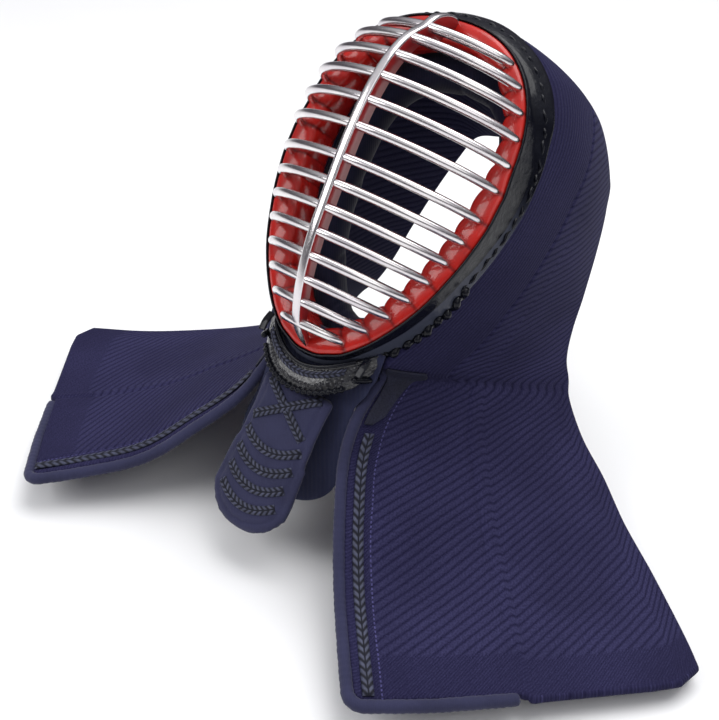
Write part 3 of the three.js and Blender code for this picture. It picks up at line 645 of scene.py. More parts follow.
class Effects:
    """The effect groups, built once."""

    def __init__(self) -> None:
        """Builds every group."""
        self.ribs = self.rib_group()
        self.weave = self.weave_group()
        self.grain = self.grain_group()
        self.cloudy = self.cloudy_group()
        self.stitches = self.stitch_group()

    @staticmethod
    def rib_group() -> bpy.types.NodeTree:
        """Quilted ribs with a row of stitch dimples in each valley."""
        tree, g, given, result = effect_group(
            "quilted ribs",
            [
                ("Map", "Vector", 0), ("Pitch", "Float", 0.006),
                ("Slant", "Float", 0.8), ("Stitch", "Float", 0.003),
            ],
            [("Height", "Float"), ("Dimple", "Float")],
        )
        turned = g.node("ShaderNodeVectorRotate", rotation_type="Z_AXIS")
        g.put(turned.inputs["Vector"], given.outputs["Map"])
        g.put(turned.inputs["Angle"], given.outputs["Slant"])
        wander = g.math("MULTIPLY_ADD", g.noise(given.outputs["Map"], 35.0), 0.0014, -0.0007)
        x, y, _ = g.axes(turned.outputs[0])
        across = g.math("DIVIDE", g.math("ADD", x, wander), given.outputs["Pitch"])
        along = g.math("DIVIDE", g.math("ADD", y, wander), given.outputs["Stitch"])
        row = g.math("FLOOR", across)
        rib = g.math("ABSOLUTE", g.math("SINE", g.math("MULTIPLY", across, math.pi)))
        valley = g.math("SUBTRACT", 1.0, g.math("POWER", rib, 0.6))
        shift = g.math("MULTIPLY", g.math("MODULO", row, 2.0), 0.5)
        dots = g.math("SINE", g.math("MULTIPLY", g.math("ADD", along, shift), 2 * math.pi))
        dimple = g.math("MULTIPLY", g.span(dots, 0.1, 0.9), g.span(valley, 0.2, 0.8))
        height = g.math("SUBTRACT", g.math("POWER", rib, 1.2), g.math("MULTIPLY", dimple, 0.4))
        g.put(result.inputs["Height"], height)
        g.put(result.inputs["Dimple"], dimple)
        return tree

    @staticmethod
    def weave_group() -> bpy.types.NodeTree:
        """A plain weave of small raised threads."""
        tree, g, given, result = effect_group(
            "plain weave",
            [("Map", "Vector", 0), ("Thread", "Float", 0.0012)],
            [("Height", "Float"), ("Thread Tone", "Float")],
        )
        x, y, _ = g.axes(given.outputs["Map"])
        waves = []
        for value, other in ((x, y), (y, x)):
            turn = g.math("MULTIPLY", g.math("DIVIDE", value, given.outputs["Thread"]), math.pi)
            cross = g.math("MULTIPLY", g.math("DIVIDE", other, given.outputs["Thread"]), math.pi)
            waves.append(g.math("MULTIPLY", g.math("SINE", turn), g.math("COSINE", cross)))
        height = g.math("MULTIPLY_ADD", g.math("ADD", waves[0], waves[1]), 0.25, 0.5)
        g.put(result.inputs["Height"], height)
        g.put(result.inputs["Thread Tone"], g.noise(given.outputs["Map"], 900.0, 1.0))
        return tree

    @staticmethod
    def grain_group() -> bpy.types.NodeTree:
        """Pebbled leather grain with its creases."""
        tree, g, given, result = effect_group(
            "leather grain",
            [("Map", "Vector", 0), ("Scale", "Float", 500.0)],
            [("Height", "Float"), ("Crease", "Float")],
        )
        cells = g.node("ShaderNodeTexVoronoi", feature="SMOOTH_F1")
        g.put(cells.inputs["Vector"], given.outputs["Map"])
        g.put(cells.inputs["Scale"], given.outputs["Scale"])
        distance = cells.outputs["Distance"]
        g.put(result.inputs["Height"], g.math("SUBTRACT", 1.0, distance))
        g.put(result.inputs["Crease"], g.span(distance, 0.35, 0.75))
        return tree

    @staticmethod
    def cloudy_group() -> bpy.types.NodeTree:
        """Slow changes of tone over a surface, with faint specks."""
        tree, g, given, result = effect_group(
            "uneven tone",
            [("Map", "Vector", 0), ("Size", "Float", 25.0)],
            [("Tone", "Float"), ("Specks", "Float")],
        )
        slow = g.node("ShaderNodeTexNoise")
        g.put(slow.inputs["Vector"], given.outputs["Map"])
        g.put(slow.inputs["Scale"], given.outputs["Size"])
        slow.inputs["Detail"].default_value = 4.0
        g.put(result.inputs["Tone"], g.span(slow.outputs["Fac"], 0.3, 0.7))
        g.put(result.inputs["Specks"], g.span(g.noise(given.outputs["Map"], 1400.0, 1.0), 0.62, 0.75))
        return tree

    @staticmethod
    def stitch_group() -> bpy.types.NodeTree:
        """A seam with a row of stitches, a distance from the map's first axis."""
        tree, g, given, result = effect_group(
            "stitched seam",
            [
                ("Map", "Vector", 0), ("Place", "Float", 0.01),
                ("Width", "Float", 0.0012), ("Stitch", "Float", 0.003),
            ],
            [("Groove", "Float"), ("Thread", "Float")],
        )
        x, y, _ = g.axes(given.outputs["Map"])
        away = g.math("ABSOLUTE", g.math("SUBTRACT", y, given.outputs["Place"]))
        groove = g.math("SUBTRACT", 1.0, g.math("DIVIDE", away, given.outputs["Width"]), clamp=True)
        dash = g.math("SINE", g.math("MULTIPLY", g.math("DIVIDE", x, given.outputs["Stitch"]), 2 * math.pi))
        thread = g.math("MULTIPLY", g.span(groove, 0.45, 0.7), g.span(dash, -0.3, 0.1))
        g.put(result.inputs["Groove"], groove)
        g.put(result.inputs["Thread"], thread)
        return tree


class Mapping(Enum):
    """Which coordinates a finish follows."""

    CLOTH = "cloth"
    SOLID = "solid"


EFFECTS = Effects()


class Finish:
    """A material under construction: its graph, surface shader and coordinates."""

    def __init__(self, name: str, mapping: Mapping) -> None:
        """Makes the material with an empty Principled surface.

        Args:
            name: The material's name.
            mapping: The coordinates that its pattern follows.
        """
        self.material = bpy.data.materials.new(name)
        self.material.use_nodes = True
        tree = self.material.node_tree
        tree.nodes.clear()
        self.g = Graph(tree)
        output = self.g.node("ShaderNodeOutputMaterial")
        self.surface = self.g.node("ShaderNodeBsdfPrincipled")
        tree.links.new(self.surface.outputs[0], output.inputs["Surface"])
        if mapping is Mapping.CLOTH:
            self.map = self.g.node("ShaderNodeUVMap", uv_map="cloth").outputs[0]
        else:
            self.map = self.g.node("ShaderNodeTexCoord").outputs["Object"]

    def set(self, **values: object) -> None:
        """Sets or joins sockets of the surface; underscores stand for spaces."""
        for key, value in values.items():
            if key == "Base_Color" and isinstance(value, tuple):
                value = rgba(value)
            self.g.put(self.surface.inputs[key.replace("_", " ")], value)

    def relief(self, height: object, depth: float, strength: float = 1.0) -> None:
        """Feeds a height, in millimetres of depth, to the surface's normal."""
        bump = self.g.node("ShaderNodeBump")
        bump.inputs["Strength"].default_value = strength
        bump.inputs["Distance"].default_value = depth * MILLIMETRE
        self.g.put(bump.inputs["Height"], height)
        self.g.put(self.surface.inputs["Normal"], bump.outputs[0])

    def value(self, name: str) -> Socket:
        """A value that the mesh carries at its points."""
        read = self.g.node("ShaderNodeAttribute", attribute_name=name, attribute_type="GEOMETRY")
        return read.outputs["Fac"]


def times(factor: float, colour: Colour) -> Colour:
    """A lighter or darker shade of a colour."""
    return tuple(factor * part for part in colour)


@dataclass(frozen=True)
class PolishedSteel:
    """Polished steel, lacquered red on the blade's flanks."""

    colour: Colour = (0.8, 0.775, 0.77)
    shade: Colour = (0.66, 0.62, 0.65)
    lacquer: Colour = (0.36, 0.02, 0.022)

    def build(self) -> bpy.types.Material:
        """Makes the material."""
        finish = Finish("polished steel", Mapping.SOLID)
        g = finish.g
        tone = g.group(EFFECTS.cloudy, Map=finish.map, Size=30.0)
        scratches = g.noise(finish.map, 700.0, 3.0)
        painted = g.span(finish.value("lacquered"), 0.3, 0.7)
        bare = g.blend(tone.outputs["Tone"], self.colour, self.shade)
        unpainted = g.math("SUBTRACT", 1.0, painted)
        finish.set(Metallic=unpainted, Base_Color=g.blend(painted, bare, self.lacquer))
        worn = g.math("MULTIPLY", g.span(scratches, 0.3, 0.8, 0.0, 0.08), unpainted)
        finish.set(Roughness=g.math("ADD", g.math("ADD", worn, 0.2), g.math("MULTIPLY", painted, 0.08)))
        finish.relief(scratches, 0.004, 0.15)
        return finish.material


@dataclass(frozen=True)
class Lacquer:
    """Thick glossy lacquer over rawhide, with painted light mixed into its colour."""

    name: str
    colour: Colour
    # dark is the colour that the crease value and the mottle mix in: painted shade in the red lacquer's
    # pinches, a lighter grey-blue painted reflection on the black rim's flange.
    dark: Colour
    roughness: float
    uneven: float
    coat: float
    specular: float = 0.25
    # The mottle share mixes the cloudy tone towards the dark colour: random tone in the red lacquer, faint
    # painted glints in the black.
    mottle_and_painted_glint: float = 0.35

    def build(self) -> bpy.types.Material:
        """Makes the material."""
        finish = Finish(self.name, Mapping.SOLID)
        g = finish.g
        tone = g.group(EFFECTS.cloudy, Map=finish.map, Size=45.0)
        # Painted light: the crease value (painted pinch shade on the red rim, painted flange reflection on
        # the black rim) and the mottle mix in the dark colour.
        mottle_and_glint_share = g.math("MULTIPLY", tone.outputs["Tone"], self.mottle_and_painted_glint)
        crease = g.math("MAXIMUM", finish.value("crease"), mottle_and_glint_share)
        finish.set(Base_Color=g.blend(crease, self.colour, self.dark), Coat_Weight=self.coat)
        finish.set(Specular_IOR_Level=self.specular, Coat_Roughness=0.06)
        finish.set(Roughness=g.span(tone.outputs["Tone"], 0.0, 1.0, self.roughness, self.roughness + 0.12))
        coarse, fine = g.noise(finish.map, 160.0, 2.0), g.noise(finish.map, 700.0, 2.0)
        finish.relief(g.math("ADD", coarse, g.math("MULTIPLY", fine, 0.2)), self.uneven, 0.6)
        return finish.material


@dataclass(frozen=True)
class Leather:
    """Dyed leather with a pebbled grain."""

    name: str
    colour: Colour
    crease: Colour
    roughness: float
    scale: float
    depth: float
    coat: float = 0.2

    def build(self) -> bpy.types.Material:
        """Makes the material."""
        finish = Finish(self.name, Mapping.SOLID)
        g = finish.g
        grain = g.group(EFFECTS.grain, Map=finish.map, Scale=self.scale)
        tone = g.group(EFFECTS.cloudy, Map=finish.map, Size=70.0)
        base = g.blend(tone.outputs["Tone"], self.colour, times(0.6, self.colour))
        finish.set(Base_Color=g.blend(grain.outputs["Crease"], base, self.crease), Coat_Weight=self.coat)
        height = grain.outputs["Height"]
        finish.set(Roughness=g.span(height, 0.3, 0.9, self.roughness + 0.15, self.roughness))
        finish.relief(height, self.depth, 0.9)
        return finish.material


@dataclass(frozen=True)
class QuiltedCotton:
    """Indigo cotton stitched in close ribs."""

    name: str
    colour: Colour
    # valley is the darker colour of the painted shade in the rib valleys and stitch dimples, also used for
    # random dark specks.
    valley: Colour
    pitch: float
    slant: float
    depth: float
    mapping: Mapping = Mapping.CLOTH
    # inside is the darker colour of the sheet's inner face, painted shade inside the hood.
    inside: Colour | None = None
    stitch_share: float = 0.42
    panel_pitch: float = 0.62
    thread: float = 0.0013
    seam_width: float = 0.0013
    seam_stitch: float = 0.0034

    @staticmethod
    def mix(g: Graph, share: Socket, first: Socket, second: Socket) -> Socket:
        """Goes from the first value to the second."""
        return g.math("ADD", first, g.math("MULTIPLY", share, g.math("SUBTRACT", second, first)))

    def build(self) -> bpy.types.Material:
        """Makes the material."""
        finish = Finish(self.name, self.mapping)
        g = finish.g
        stitch = self.pitch * self.stitch_share
        slanted, upright = (
            g.group(EFFECTS.ribs, Map=finish.map, Pitch=pitch, Slant=slant, Stitch=stitch)
            for pitch, slant in ((self.pitch, self.slant), (self.pitch * self.panel_pitch, math.pi / 2))
        )
        weave = g.group(EFFECTS.weave, Map=finish.map, Thread=self.thread)
        tone = g.group(EFFECTS.cloudy, Map=finish.map, Size=14.0)
        panel, plain = finish.value("panel"), finish.value("plain")
        dimple = self.mix(g, panel, slanted.outputs["Dimple"], upright.outputs["Dimple"])
        flatter = g.math("MULTIPLY", upright.outputs["Height"], 0.6)
        height = self.mix(g, panel, slanted.outputs["Height"], flatter)
        height = self.mix(g, plain, height, g.math("MULTIPLY", weave.outputs["Height"], 0.8))
        colour = g.blend(tone.outputs["Tone"], self.colour, times(0.74, self.colour))
        # Painted shade: the sheet's inner face, inside the hood, takes the darker inside colour.
        if self.inside:
            colour = g.blend(finish.value("inside"), colour, self.inside)
        low = g.span(height, 0.8, 0.05, 0.0, 0.62)
        knots = g.span(g.noise(finish.map, 700.0, 2.0), 0.38, 0.62, 0.0, 0.52)
        colour = g.blend(knots, colour, self.valley)
        # Painted shade: the low valleys between the ribs and the stitch dimples are darkened towards the
        # valley colour.
        colour = g.blend(g.math("MAXIMUM", low, dimple), colour, self.valley)
        colour = g.blend(g.math("MULTIPLY", tone.outputs["Specks"], 0.4), colour, times(2.4, self.colour))
        seam = g.group(
            EFFECTS.stitches, Map=finish.map, Place=HEM_SEAM * MILLIMETRE,
            Width=self.seam_width, Stitch=self.seam_stitch,
        )
        thread = g.math("MULTIPLY", seam.outputs["Thread"], g.math("SUBTRACT", 1.0, panel))
        colour = g.blend(g.math("MULTIPLY", thread, 0.55), colour, times(3.0, self.colour))
        finish.set(Base_Color=colour, Roughness=g.span(height, 0.0, 1.0, 0.95, 0.8))
        finish.set(Sheen_Weight=0.015, Sheen_Roughness=0.5, Specular_IOR_Level=0.06)
        woven = g.math("ADD", height, g.math("MULTIPLY", weave.outputs["Height"], 0.3))
        finish.relief(woven, self.depth, 0.9)
        return finish.material


@dataclass(frozen=True)
class PlainCotton:
    """Smooth indigo cotton with a fine weave."""

    name: str
    colour: Colour
    thread: float
    depth: float
    mapping: Mapping

    def build(self) -> bpy.types.Material:
        """Makes the material."""
        finish = Finish(self.name, self.mapping)
        g = finish.g
        weave = g.group(EFFECTS.weave, Map=finish.map, Thread=self.thread)
        tone = g.group(EFFECTS.cloudy, Map=finish.map, Size=35.0)
        base = g.blend(tone.outputs["Tone"], self.colour, times(0.72, self.colour))
        tint = g.math("MULTIPLY", weave.outputs["Thread Tone"], 0.45)
        finish.set(Base_Color=g.blend(tint, base, times(1.5, self.colour)))
        finish.set(Roughness=g.span(weave.outputs["Height"], 0.2, 0.8, 0.92, 0.75))
        finish.set(Sheen_Weight=0.12, Specular_IOR_Level=0.15)
        puckers = g.math("MULTIPLY", g.noise(finish.map, 110.0, 2.0), 1.6)
        finish.relief(g.math("ADD", weave.outputs["Height"], puckers), self.depth, 0.8)
        return finish.material


@dataclass(frozen=True)
class PlaitedBraid:
    """Flat plaited braid with a painted highlight on its raised strands and painted shade in the gaps
    between them.
    """

    name: str = "plaited braid"
    # high is the painted highlight colour of the raised strands; low is the painted shade in the gaps, also
    # mixed in at random.
    high: Colour = (0.06, 0.066, 0.112)
    low: Colour = (0.005, 0.0055, 0.013)

    def build(self) -> bpy.types.Material:
        """Makes the material."""
        finish = Finish(self.name, Mapping.SOLID)
        g = finish.g
        strand = finish.value("strand")
        tone = g.group(EFFECTS.cloudy, Map=finish.map, Size=200.0)
        # Painted highlight and shade: raised strands go to the high colour, the gaps between them to the
        # low one.
        colour = g.blend(g.span(strand, 0.55, 1.0), self.low, self.high)
        finish.set(Base_Color=g.blend(g.math("MULTIPLY", tone.outputs["Tone"], 0.4), colour, self.low))
        finish.set(Roughness=g.span(strand, 0.0, 1.0, 0.8, 0.5))
        finish.set(Sheen_Weight=0.04, Specular_IOR_Level=0.25)
        finish.relief(g.noise(finish.map, 1500.0, 2.0), 0.15, 0.7)
        return finish.material


# Sub-assemblies


@dataclass
class Grille:
    """The polished bars and the centre blade."""

    steel: bpy.types.Material
    radius: float = 3.5
    reach: float = 63.4
    squareness: float = 1.2
    inset: float = BAR_INSET
    start: float = 1.2
    blade_half_width: float = 3.4
    blade_proud: float = 4.6
    blade_flank: float = 10.0
    blade_face: float = 1.6
    steps: int = 56
    corners: int = 14
    bars: tuple[tuple[float, float], ...] = (
        (0.919, 0.532), (0.865, 0.746), (0.802, 0.886), (0.734, 0.965), (0.662, 1.0),
        (0.59, 0.997), (0.503, 0.965), (0.434, 0.924), (0.368, 0.883), (0.303, 0.839),
        (0.239, 0.77), (0.177, 0.675), (0.118, 0.552), (0.063, 0.383),
    )

    def height(self, share: float) -> float:
        """Height of a bar from its share of the ring's height."""
        return -RING.foot_drop + share * (RING.top + RING.foot_drop)

    def bar(self, share: float, reach: float) -> np.ndarray:
        """Sections of one bar, with tapered round tips on the red lip.

        Args:
            share: Its height as a share of the ring's height.
            reach: Its reach as a share of the longest reach.

        Returns:
            The sections.
        """
        height = self.height(share)
        half = RING.half_width_at(height, self.inset)
        turn = np.linspace(0, np.pi, self.steps)
        cosine, sine = np.cos(turn), np.sin(turn)
        x = half * np.sign(cosine) * np.abs(cosine) ** self.squareness
        y = -self.start - (reach * self.reach - self.start) * np.abs(sine) ** self.squareness
        path = np.stack([x, y, np.full_like(x, height)], axis=-1)
        tip = np.array([[half + 0.9, 1.2, height], [half + 0.3, 0.2, height]])
        path = np.vstack([tip, path, tip[::-1] * [-1, 1, 1]])
        along = lengths(path)
        radii = self.radius * taper(along, (0, 0.5, 1.6, 4, 14), (0.25, 0.62, 0.84, 0.92, 1.0))
        return tube_sections(path, np.array([0.0, 0.0, 1.0]), radii, radii, self.corners)

    def blade(self) -> tuple[np.ndarray, np.ndarray]:
        """The centre blade, from the ring's top to its foot.

        Returns:
            Its sections, and how far each point lies on a lacquered flank.
        """
        top, foot = RING.top, -RING.foot_drop
        rows = [(self.height(s), r * self.reach) for s, r in self.bars]
        face = [(top - 1.2, 0.8), (top - 0.6, 8.0), (top - 3.4, 18.0), (top - 11.0, 30.0)]
        face += [(h, r + self.blade_proud) for h, r in rows]
        face += [(foot + 5.5, 12.0), (foot + 1.6, 1.0)]
        rear = [(top - 5.0, 0.8), (top - 8.0, 4.0), (top - 14.0, 9.0), (top - 23.0, 15.0)]
        rear += [(h - 3.0, r - self.blade_flank) for h, r in rows]
        rear += [(foot + 9.5, 7.0), (foot + 3.4, 0.6)]
        share = np.linspace(0, 1, 130)
        front, back = (
            smooth_curve(np.array([(0.0, -reach, height) for height, reach in line]), share)
            for line in (face, rear)
        )
        inwards, depth = unit(back - front), np.linalg.norm(back - front, axis=1)
        width = self.blade_half_width * np.interp(share, [0, 0.02, 0.93, 1], [0.75, 1, 1, 0.3])
        ring = [(-0.55, 0.0), (0.55, 0.0), (0.9, 0.5), (1.0, 1.3), (1.0, 2.2), (1.0, None), (0.8, None)]
        ring += [(-x, d) for x, d in reversed(ring[2:])]
        sections, painted = [], []
        for across, down in ring:
            if down is None:
                level = depth - (0.4 if abs(across) == 1.0 else 0.0)
            else:
                level = np.minimum(down, 0.9 * depth)
            sideways = np.array([1.0, 0.0, 0.0]) * (across * width)[:, None]
            sections.append(front + inwards * level[:, None] + sideways)
            bare = down is not None and down < self.blade_face
            painted.append(np.full(len(share), 0.0 if bare else 1.0))
        return np.stack(sections, axis=1), np.stack(painted, axis=1)

    def build(self) -> None:
        """Builds the grille as one polished piece."""
        parts = []
        for i, row in enumerate(self.bars):
            shape = self.bar(*row)
            unpainted = {"lacquered": np.zeros(shape.shape[:2])}
            parts.append(ring_piece(f"grille_bar_{i}", shape, False, unpainted))
        blade, painted = self.blade()
        parts.append(ring_piece("centre_blade", blade, False, {"lacquered": painted}))
        work = bmesh.new()
        for part in parts:
            work.from_mesh(part.data)
            bpy.data.objects.remove(part)
        mesh = bpy.data.meshes.new("polished_grille")
        work.to_mesh(mesh)
        work.free()
        mesh.shade_smooth()
        piece = add_object("polished_grille", mesh)
        settle(piece, "face_grille", slot="steel", finish=self.steel)


@dataclass(frozen=True)
class Lacing:
    """How a thong runs along the black rim.

    Attributes:
        low: The angle where it starts.
        high: The angle where it ends.
        pitch: Millimetres between two stitches.
        radius: Half its thickness.
        place: Where it lies across the rim, from 0 at its bead to 1 at its edge.
    """

    low: float
    high: float
    pitch: float
    radius: float
    place: float


@dataclass
class LacqueredRims:
    """The red lip and wall, the black rim outside it and the thong laced along its edge."""

    red: bpy.types.Material
    black: bpy.types.Material
    bar_heights: Sequence[float]
    steps: int = 720
    bump: float = 2.6
    push: float = 1.5
    lacing: Lacing = Lacing(-120, 120, 11.5, 1.25, 0.55)
    knots: Lacing = Lacing(119, 148, 9.5, 3.0, 0.9)
    # Where the black rim's painted flange reflection lies: its section columns and the angles over which it
    # fades in.
    flange_columns: tuple[int, int] = (8, 12)
    flange_angles: tuple[float, float] = (84.0, 104.0)

    def between_bars(self, angle: np.ndarray) -> np.ndarray:
        """How far each place lies between two bars: 0 at a bar, 1 halfway."""
        heights = sorted([*self.bar_heights, -RING.foot_drop, RING.top])
        points = RING.beside(angle, np.full_like(angle, -BAR_INSET), 0 * angle)
        return np.abs(np.sin(np.pi * np.interp(points[:, 2], heights, np.arange(len(heights)))))

    def sections(self, profile: Callable[[np.ndarray], list[tuple[np.ndarray, np.ndarray]]]) -> np.ndarray:
        """Sections round the whole ring from a profile of out and back values."""
        angle = np.arange(self.steps) * 360 / self.steps
        columns = [RING.beside(angle, out, back) for out, back in profile(angle)]
        return np.stack(columns, axis=1)

    def red_profile(self, angle: np.ndarray) -> list[tuple[np.ndarray, np.ndarray]]:
        """The red rim's section: puffed between the bars, pinched at each bar."""
        puff = self.between_bars(angle) ** 0.7
        flat = np.ones_like(angle)
        rows = [
            (-0.2, 1.5, 0, 0), (-0.4, -0.2, 0, 0.2), (-1.4, -1.4, 0, 0.35), (-3.2, -2.2, 0, 0.5),
            (-5.6, -2.6, 0.1, 0.6), (-8.4, -2.5, 0.25, 0.75), (-11.2, -1.9, 0.5, 0.8),
            (-13.6, -0.6, 0.8, 0.75), (-15.2, 1.4, 1, 0.5), (-16.0, 4.0, 1, 0.2),
            (-16.2, 8.0, 0.9, 0), (-16.2, 13.0, 0.8, 0), (-16.0, 19.0, 0.6, 0),
            (-15.6, 26.0, 0.3, 0), (-14.8, 31.0, 0.1, 0), (-13.0, 33.0, 0, 0),
            (-8.8, 33.0, 0, 0), (-8.8, 12.0, 0, 0), (-4.0, 5.0, 0, 0),
        ]
        spread = eased_table(LIP_SPREAD, folded_angle(angle))
        columns = []
        for out, back, inwards, forward in rows:
            widened = spread * np.interp(out, (-11.0, -1.0), (0.0, 1.0))
            stand = flat * out - self.bump * inwards * puff + widened
            columns.append((stand, flat * back - self.push * forward * puff))
        return columns

    def black_profile(self, angle: np.ndarray) -> list[tuple[np.ndarray, np.ndarray]]:
        """The black rim's section: a bead beside the lip, a wall, a fold and a laced edge."""
        out, back = rim_edge(angle)
        folded = folded_angle(angle)
        near = eased_table(LIP_SPREAD, folded)
        fold_out, fold_back = eased_table(FOLD_OUT, folded), eased_table(FOLD_BACK, folded)
        start_out, start_back = near + 1.9, 0.4 + 0 * near
        bead = [(near + 0.35, 0.06 * back)]
        bead += [
            (near + out_by, 0 * near - proud) for out_by, proud in ((0.35, 0.7), (0.9, 1.5), (1.7, 1.1))
        ]
        wall = [
            (start_out + (fold_out - start_out) * s, start_back + (fold_back - start_back) * t)
            for s, t in ((0, 0), (0.3, 0.4), (0.72, 0.78), (0.93, 0.95))
        ]
        edge = [
            (fold_out + (out - fold_out) * s, fold_back + (back - fold_back) * t)
            for s, t in ((0.08, 0.02), (0.5, 0.4), (0.9, 0.86), (1, 0.97), (0.94, 1.04))
        ]
        inner = [(out - 3.4, back), (near + 0.3, 0.62 * back), (near + 0.3, 0.3 * back)]
        return bead + wall + edge + inner

    @staticmethod
    def thong(lacing: Lacing, side: float = 1.0) -> np.ndarray:
        """Sections of a thong laced over and under the black rim.

        Args:
            lacing: How it runs.
            side: 1 for the angles as they are given, -1 for the other side of the helmet.

        Returns:
            The sections.
        """
        pitch, radius, place = lacing.pitch, lacing.radius, lacing.place
        coarse = np.linspace(side * lacing.low, side * lacing.high, 2000)
        out, back = rim_edge(coarse)
        folded = folded_angle(coarse)
        fold_out, fold_back = eased_table(FOLD_OUT, folded), eased_table(FOLD_BACK, folded)
        laced_out = fold_out + (out - fold_out) * place
        laced_back = fold_back + (back - fold_back) * place * 0.92
        base = RING.beside(coarse, laced_out, laced_back)
        along = lengths(base)
        even = np.arange(0, along[-1], 0.45)
        path = read_path(base, along, even)
        forward = unit(np.cross(unit(np.gradient(path, axis=0)), np.array([0.0, 1.0, 0.0])))
        forward[np.sum(forward * (path - np.array([0, 0, RING.widest])), axis=1) < 0] *= -1
        lift = unit(forward * 0.75 + np.array([0.0, -0.65, 0.0]))
        wave = np.sin(2 * np.pi * even / pitch + 0.9 * np.sin(2 * np.pi * even / (2.7 * pitch)))
        path += lift * (0.7 * radius * wave - 0.1 * radius)[:, None]
        sway = unit(np.gradient(path, axis=0))
        path = path + np.cross(sway, lift) * (0.5 * radius * np.cos(2 * np.pi * even / pitch))[:, None]
        return tube_sections(path, lift, np.full(len(path), 0.85 * radius), np.full(len(path), radius), 10)

    def build(self) -> None:
        """Builds both rims and their lacing."""
        angle = np.arange(self.steps) * 360 / self.steps
        sections = self.sections(self.red_profile)
        # Painted shade: the red lacquer is darkened where it pinches in beside each bar, less on the inner
        # wall than on the lip, through the crease value.
        pinched = 1 - smooth_step(self.between_bars(angle), 0.0, 0.42)
        crease = np.repeat(pinched[:, None], sections.shape[1], axis=1)
        wall = np.linspace(0, 1, sections.shape[1]) > 0.5
        crease = np.clip(crease * np.where(wall, 0.55, 0.8), 0, 1)
        lip = ring_piece("red_lacquer_rim", sections, True, {"crease": crease})
        settle(lip, "red_rim", slot="red_lacquer", finish=self.red)
        outer = self.sections(self.black_profile)
        # Painted reflection: the laced edge of the black rim's lower half is painted a lighter grey-blue
        # through the crease value, where the glossy lacquer mirrors the room.
        painted_flange_reflection = np.zeros(outer.shape[:2])
        first, last = self.flange_columns
        painted_flange_reflection[:, first:last] = smooth_step(folded_angle(angle), *self.flange_angles)[:, None]
        rim = ring_piece("black_lacquer_rim", outer, True, {"crease": painted_flange_reflection})
        settle(rim, "black_rim", slot="black_lacquer", finish=self.black)
        settle_lacquered("rim_lacing", self.thong(self.lacing), finish=self.black)
        for hand, side in HANDS:
            settle_lacquered(f"rim_knots_{hand}", self.thong(self.knots, side), finish=self.black)


@dataclass
class FacePad:
    """The stuffed pad that the wearer's face rests in."""

    cotton: bpy.types.Material
    width: float = 31.0
    depth: float = 31.0
    inset: float = 7.0
    gap: float = 2.0
    squareness: float = 0.75
    steps: int = 220
    corners: int = 28
    voxel: float = 0.0045
    pressure: float = 4.0
    cap: float = 0.004
    folds: int = 11
    fold_depth: float = 0.0022

    def build(self) -> None:
        """Builds the pad, swells it and folds it in where the thread pulls."""
        angle = np.arange(self.steps) * 360 / self.steps
        centre = np.array([0.0, 0.0, RING.widest])
        outer = RING.beside(angle, np.full_like(angle, -self.inset), 0 * angle)
        arm = outer - centre
        inwards = self.width / np.linalg.norm(arm, axis=1, keepdims=True)
        turn = np.linspace(0, 2 * np.pi, self.corners, endpoint=False)
        columns = []
        for t in turn:
            across = 0.5 - 0.5 * np.sign(np.cos(t)) * abs(np.cos(t)) ** self.squareness
            back = 0.5 + 0.5 * np.sign(np.sin(t)) * abs(np.sin(t)) ** self.squareness
            point = centre + arm * (1 - inwards * across)
            point[:, 1] = RIM_DEPTH + self.gap + back * self.depth
            columns.append(point)
        piece = ring_piece("stuffed_face_pad", np.stack(columns, axis=1), True, {})
        swell(piece, self.voxel, self.pressure, self.cap)
        self.fold(piece)
        settle(piece, "face_pad", slot="quilted_cotton", finish=self.cotton)

    def fold(self, piece: Piece) -> None:
        """Presses radial folds into the pad's front and inner side."""
        points = read_points(piece)
        normals = np.zeros(points.size, np.float32)
        piece.data.vertex_normals.foreach_get("vector", normals)
        turn = np.arctan2(points[:, 0], points[:, 2] + 0.03)
        folds = np.abs(np.sin(turn * self.folds + 0.6 * np.sin(turn * 5))) ** 0.5
        wander = 0.5 + 0.5 * np.sin(turn * 7 + 1.3)
        points += normals.reshape(-1, 3) * ((folds - 1) * self.fold_depth * wander)[:, None]
        write_points(piece, points)


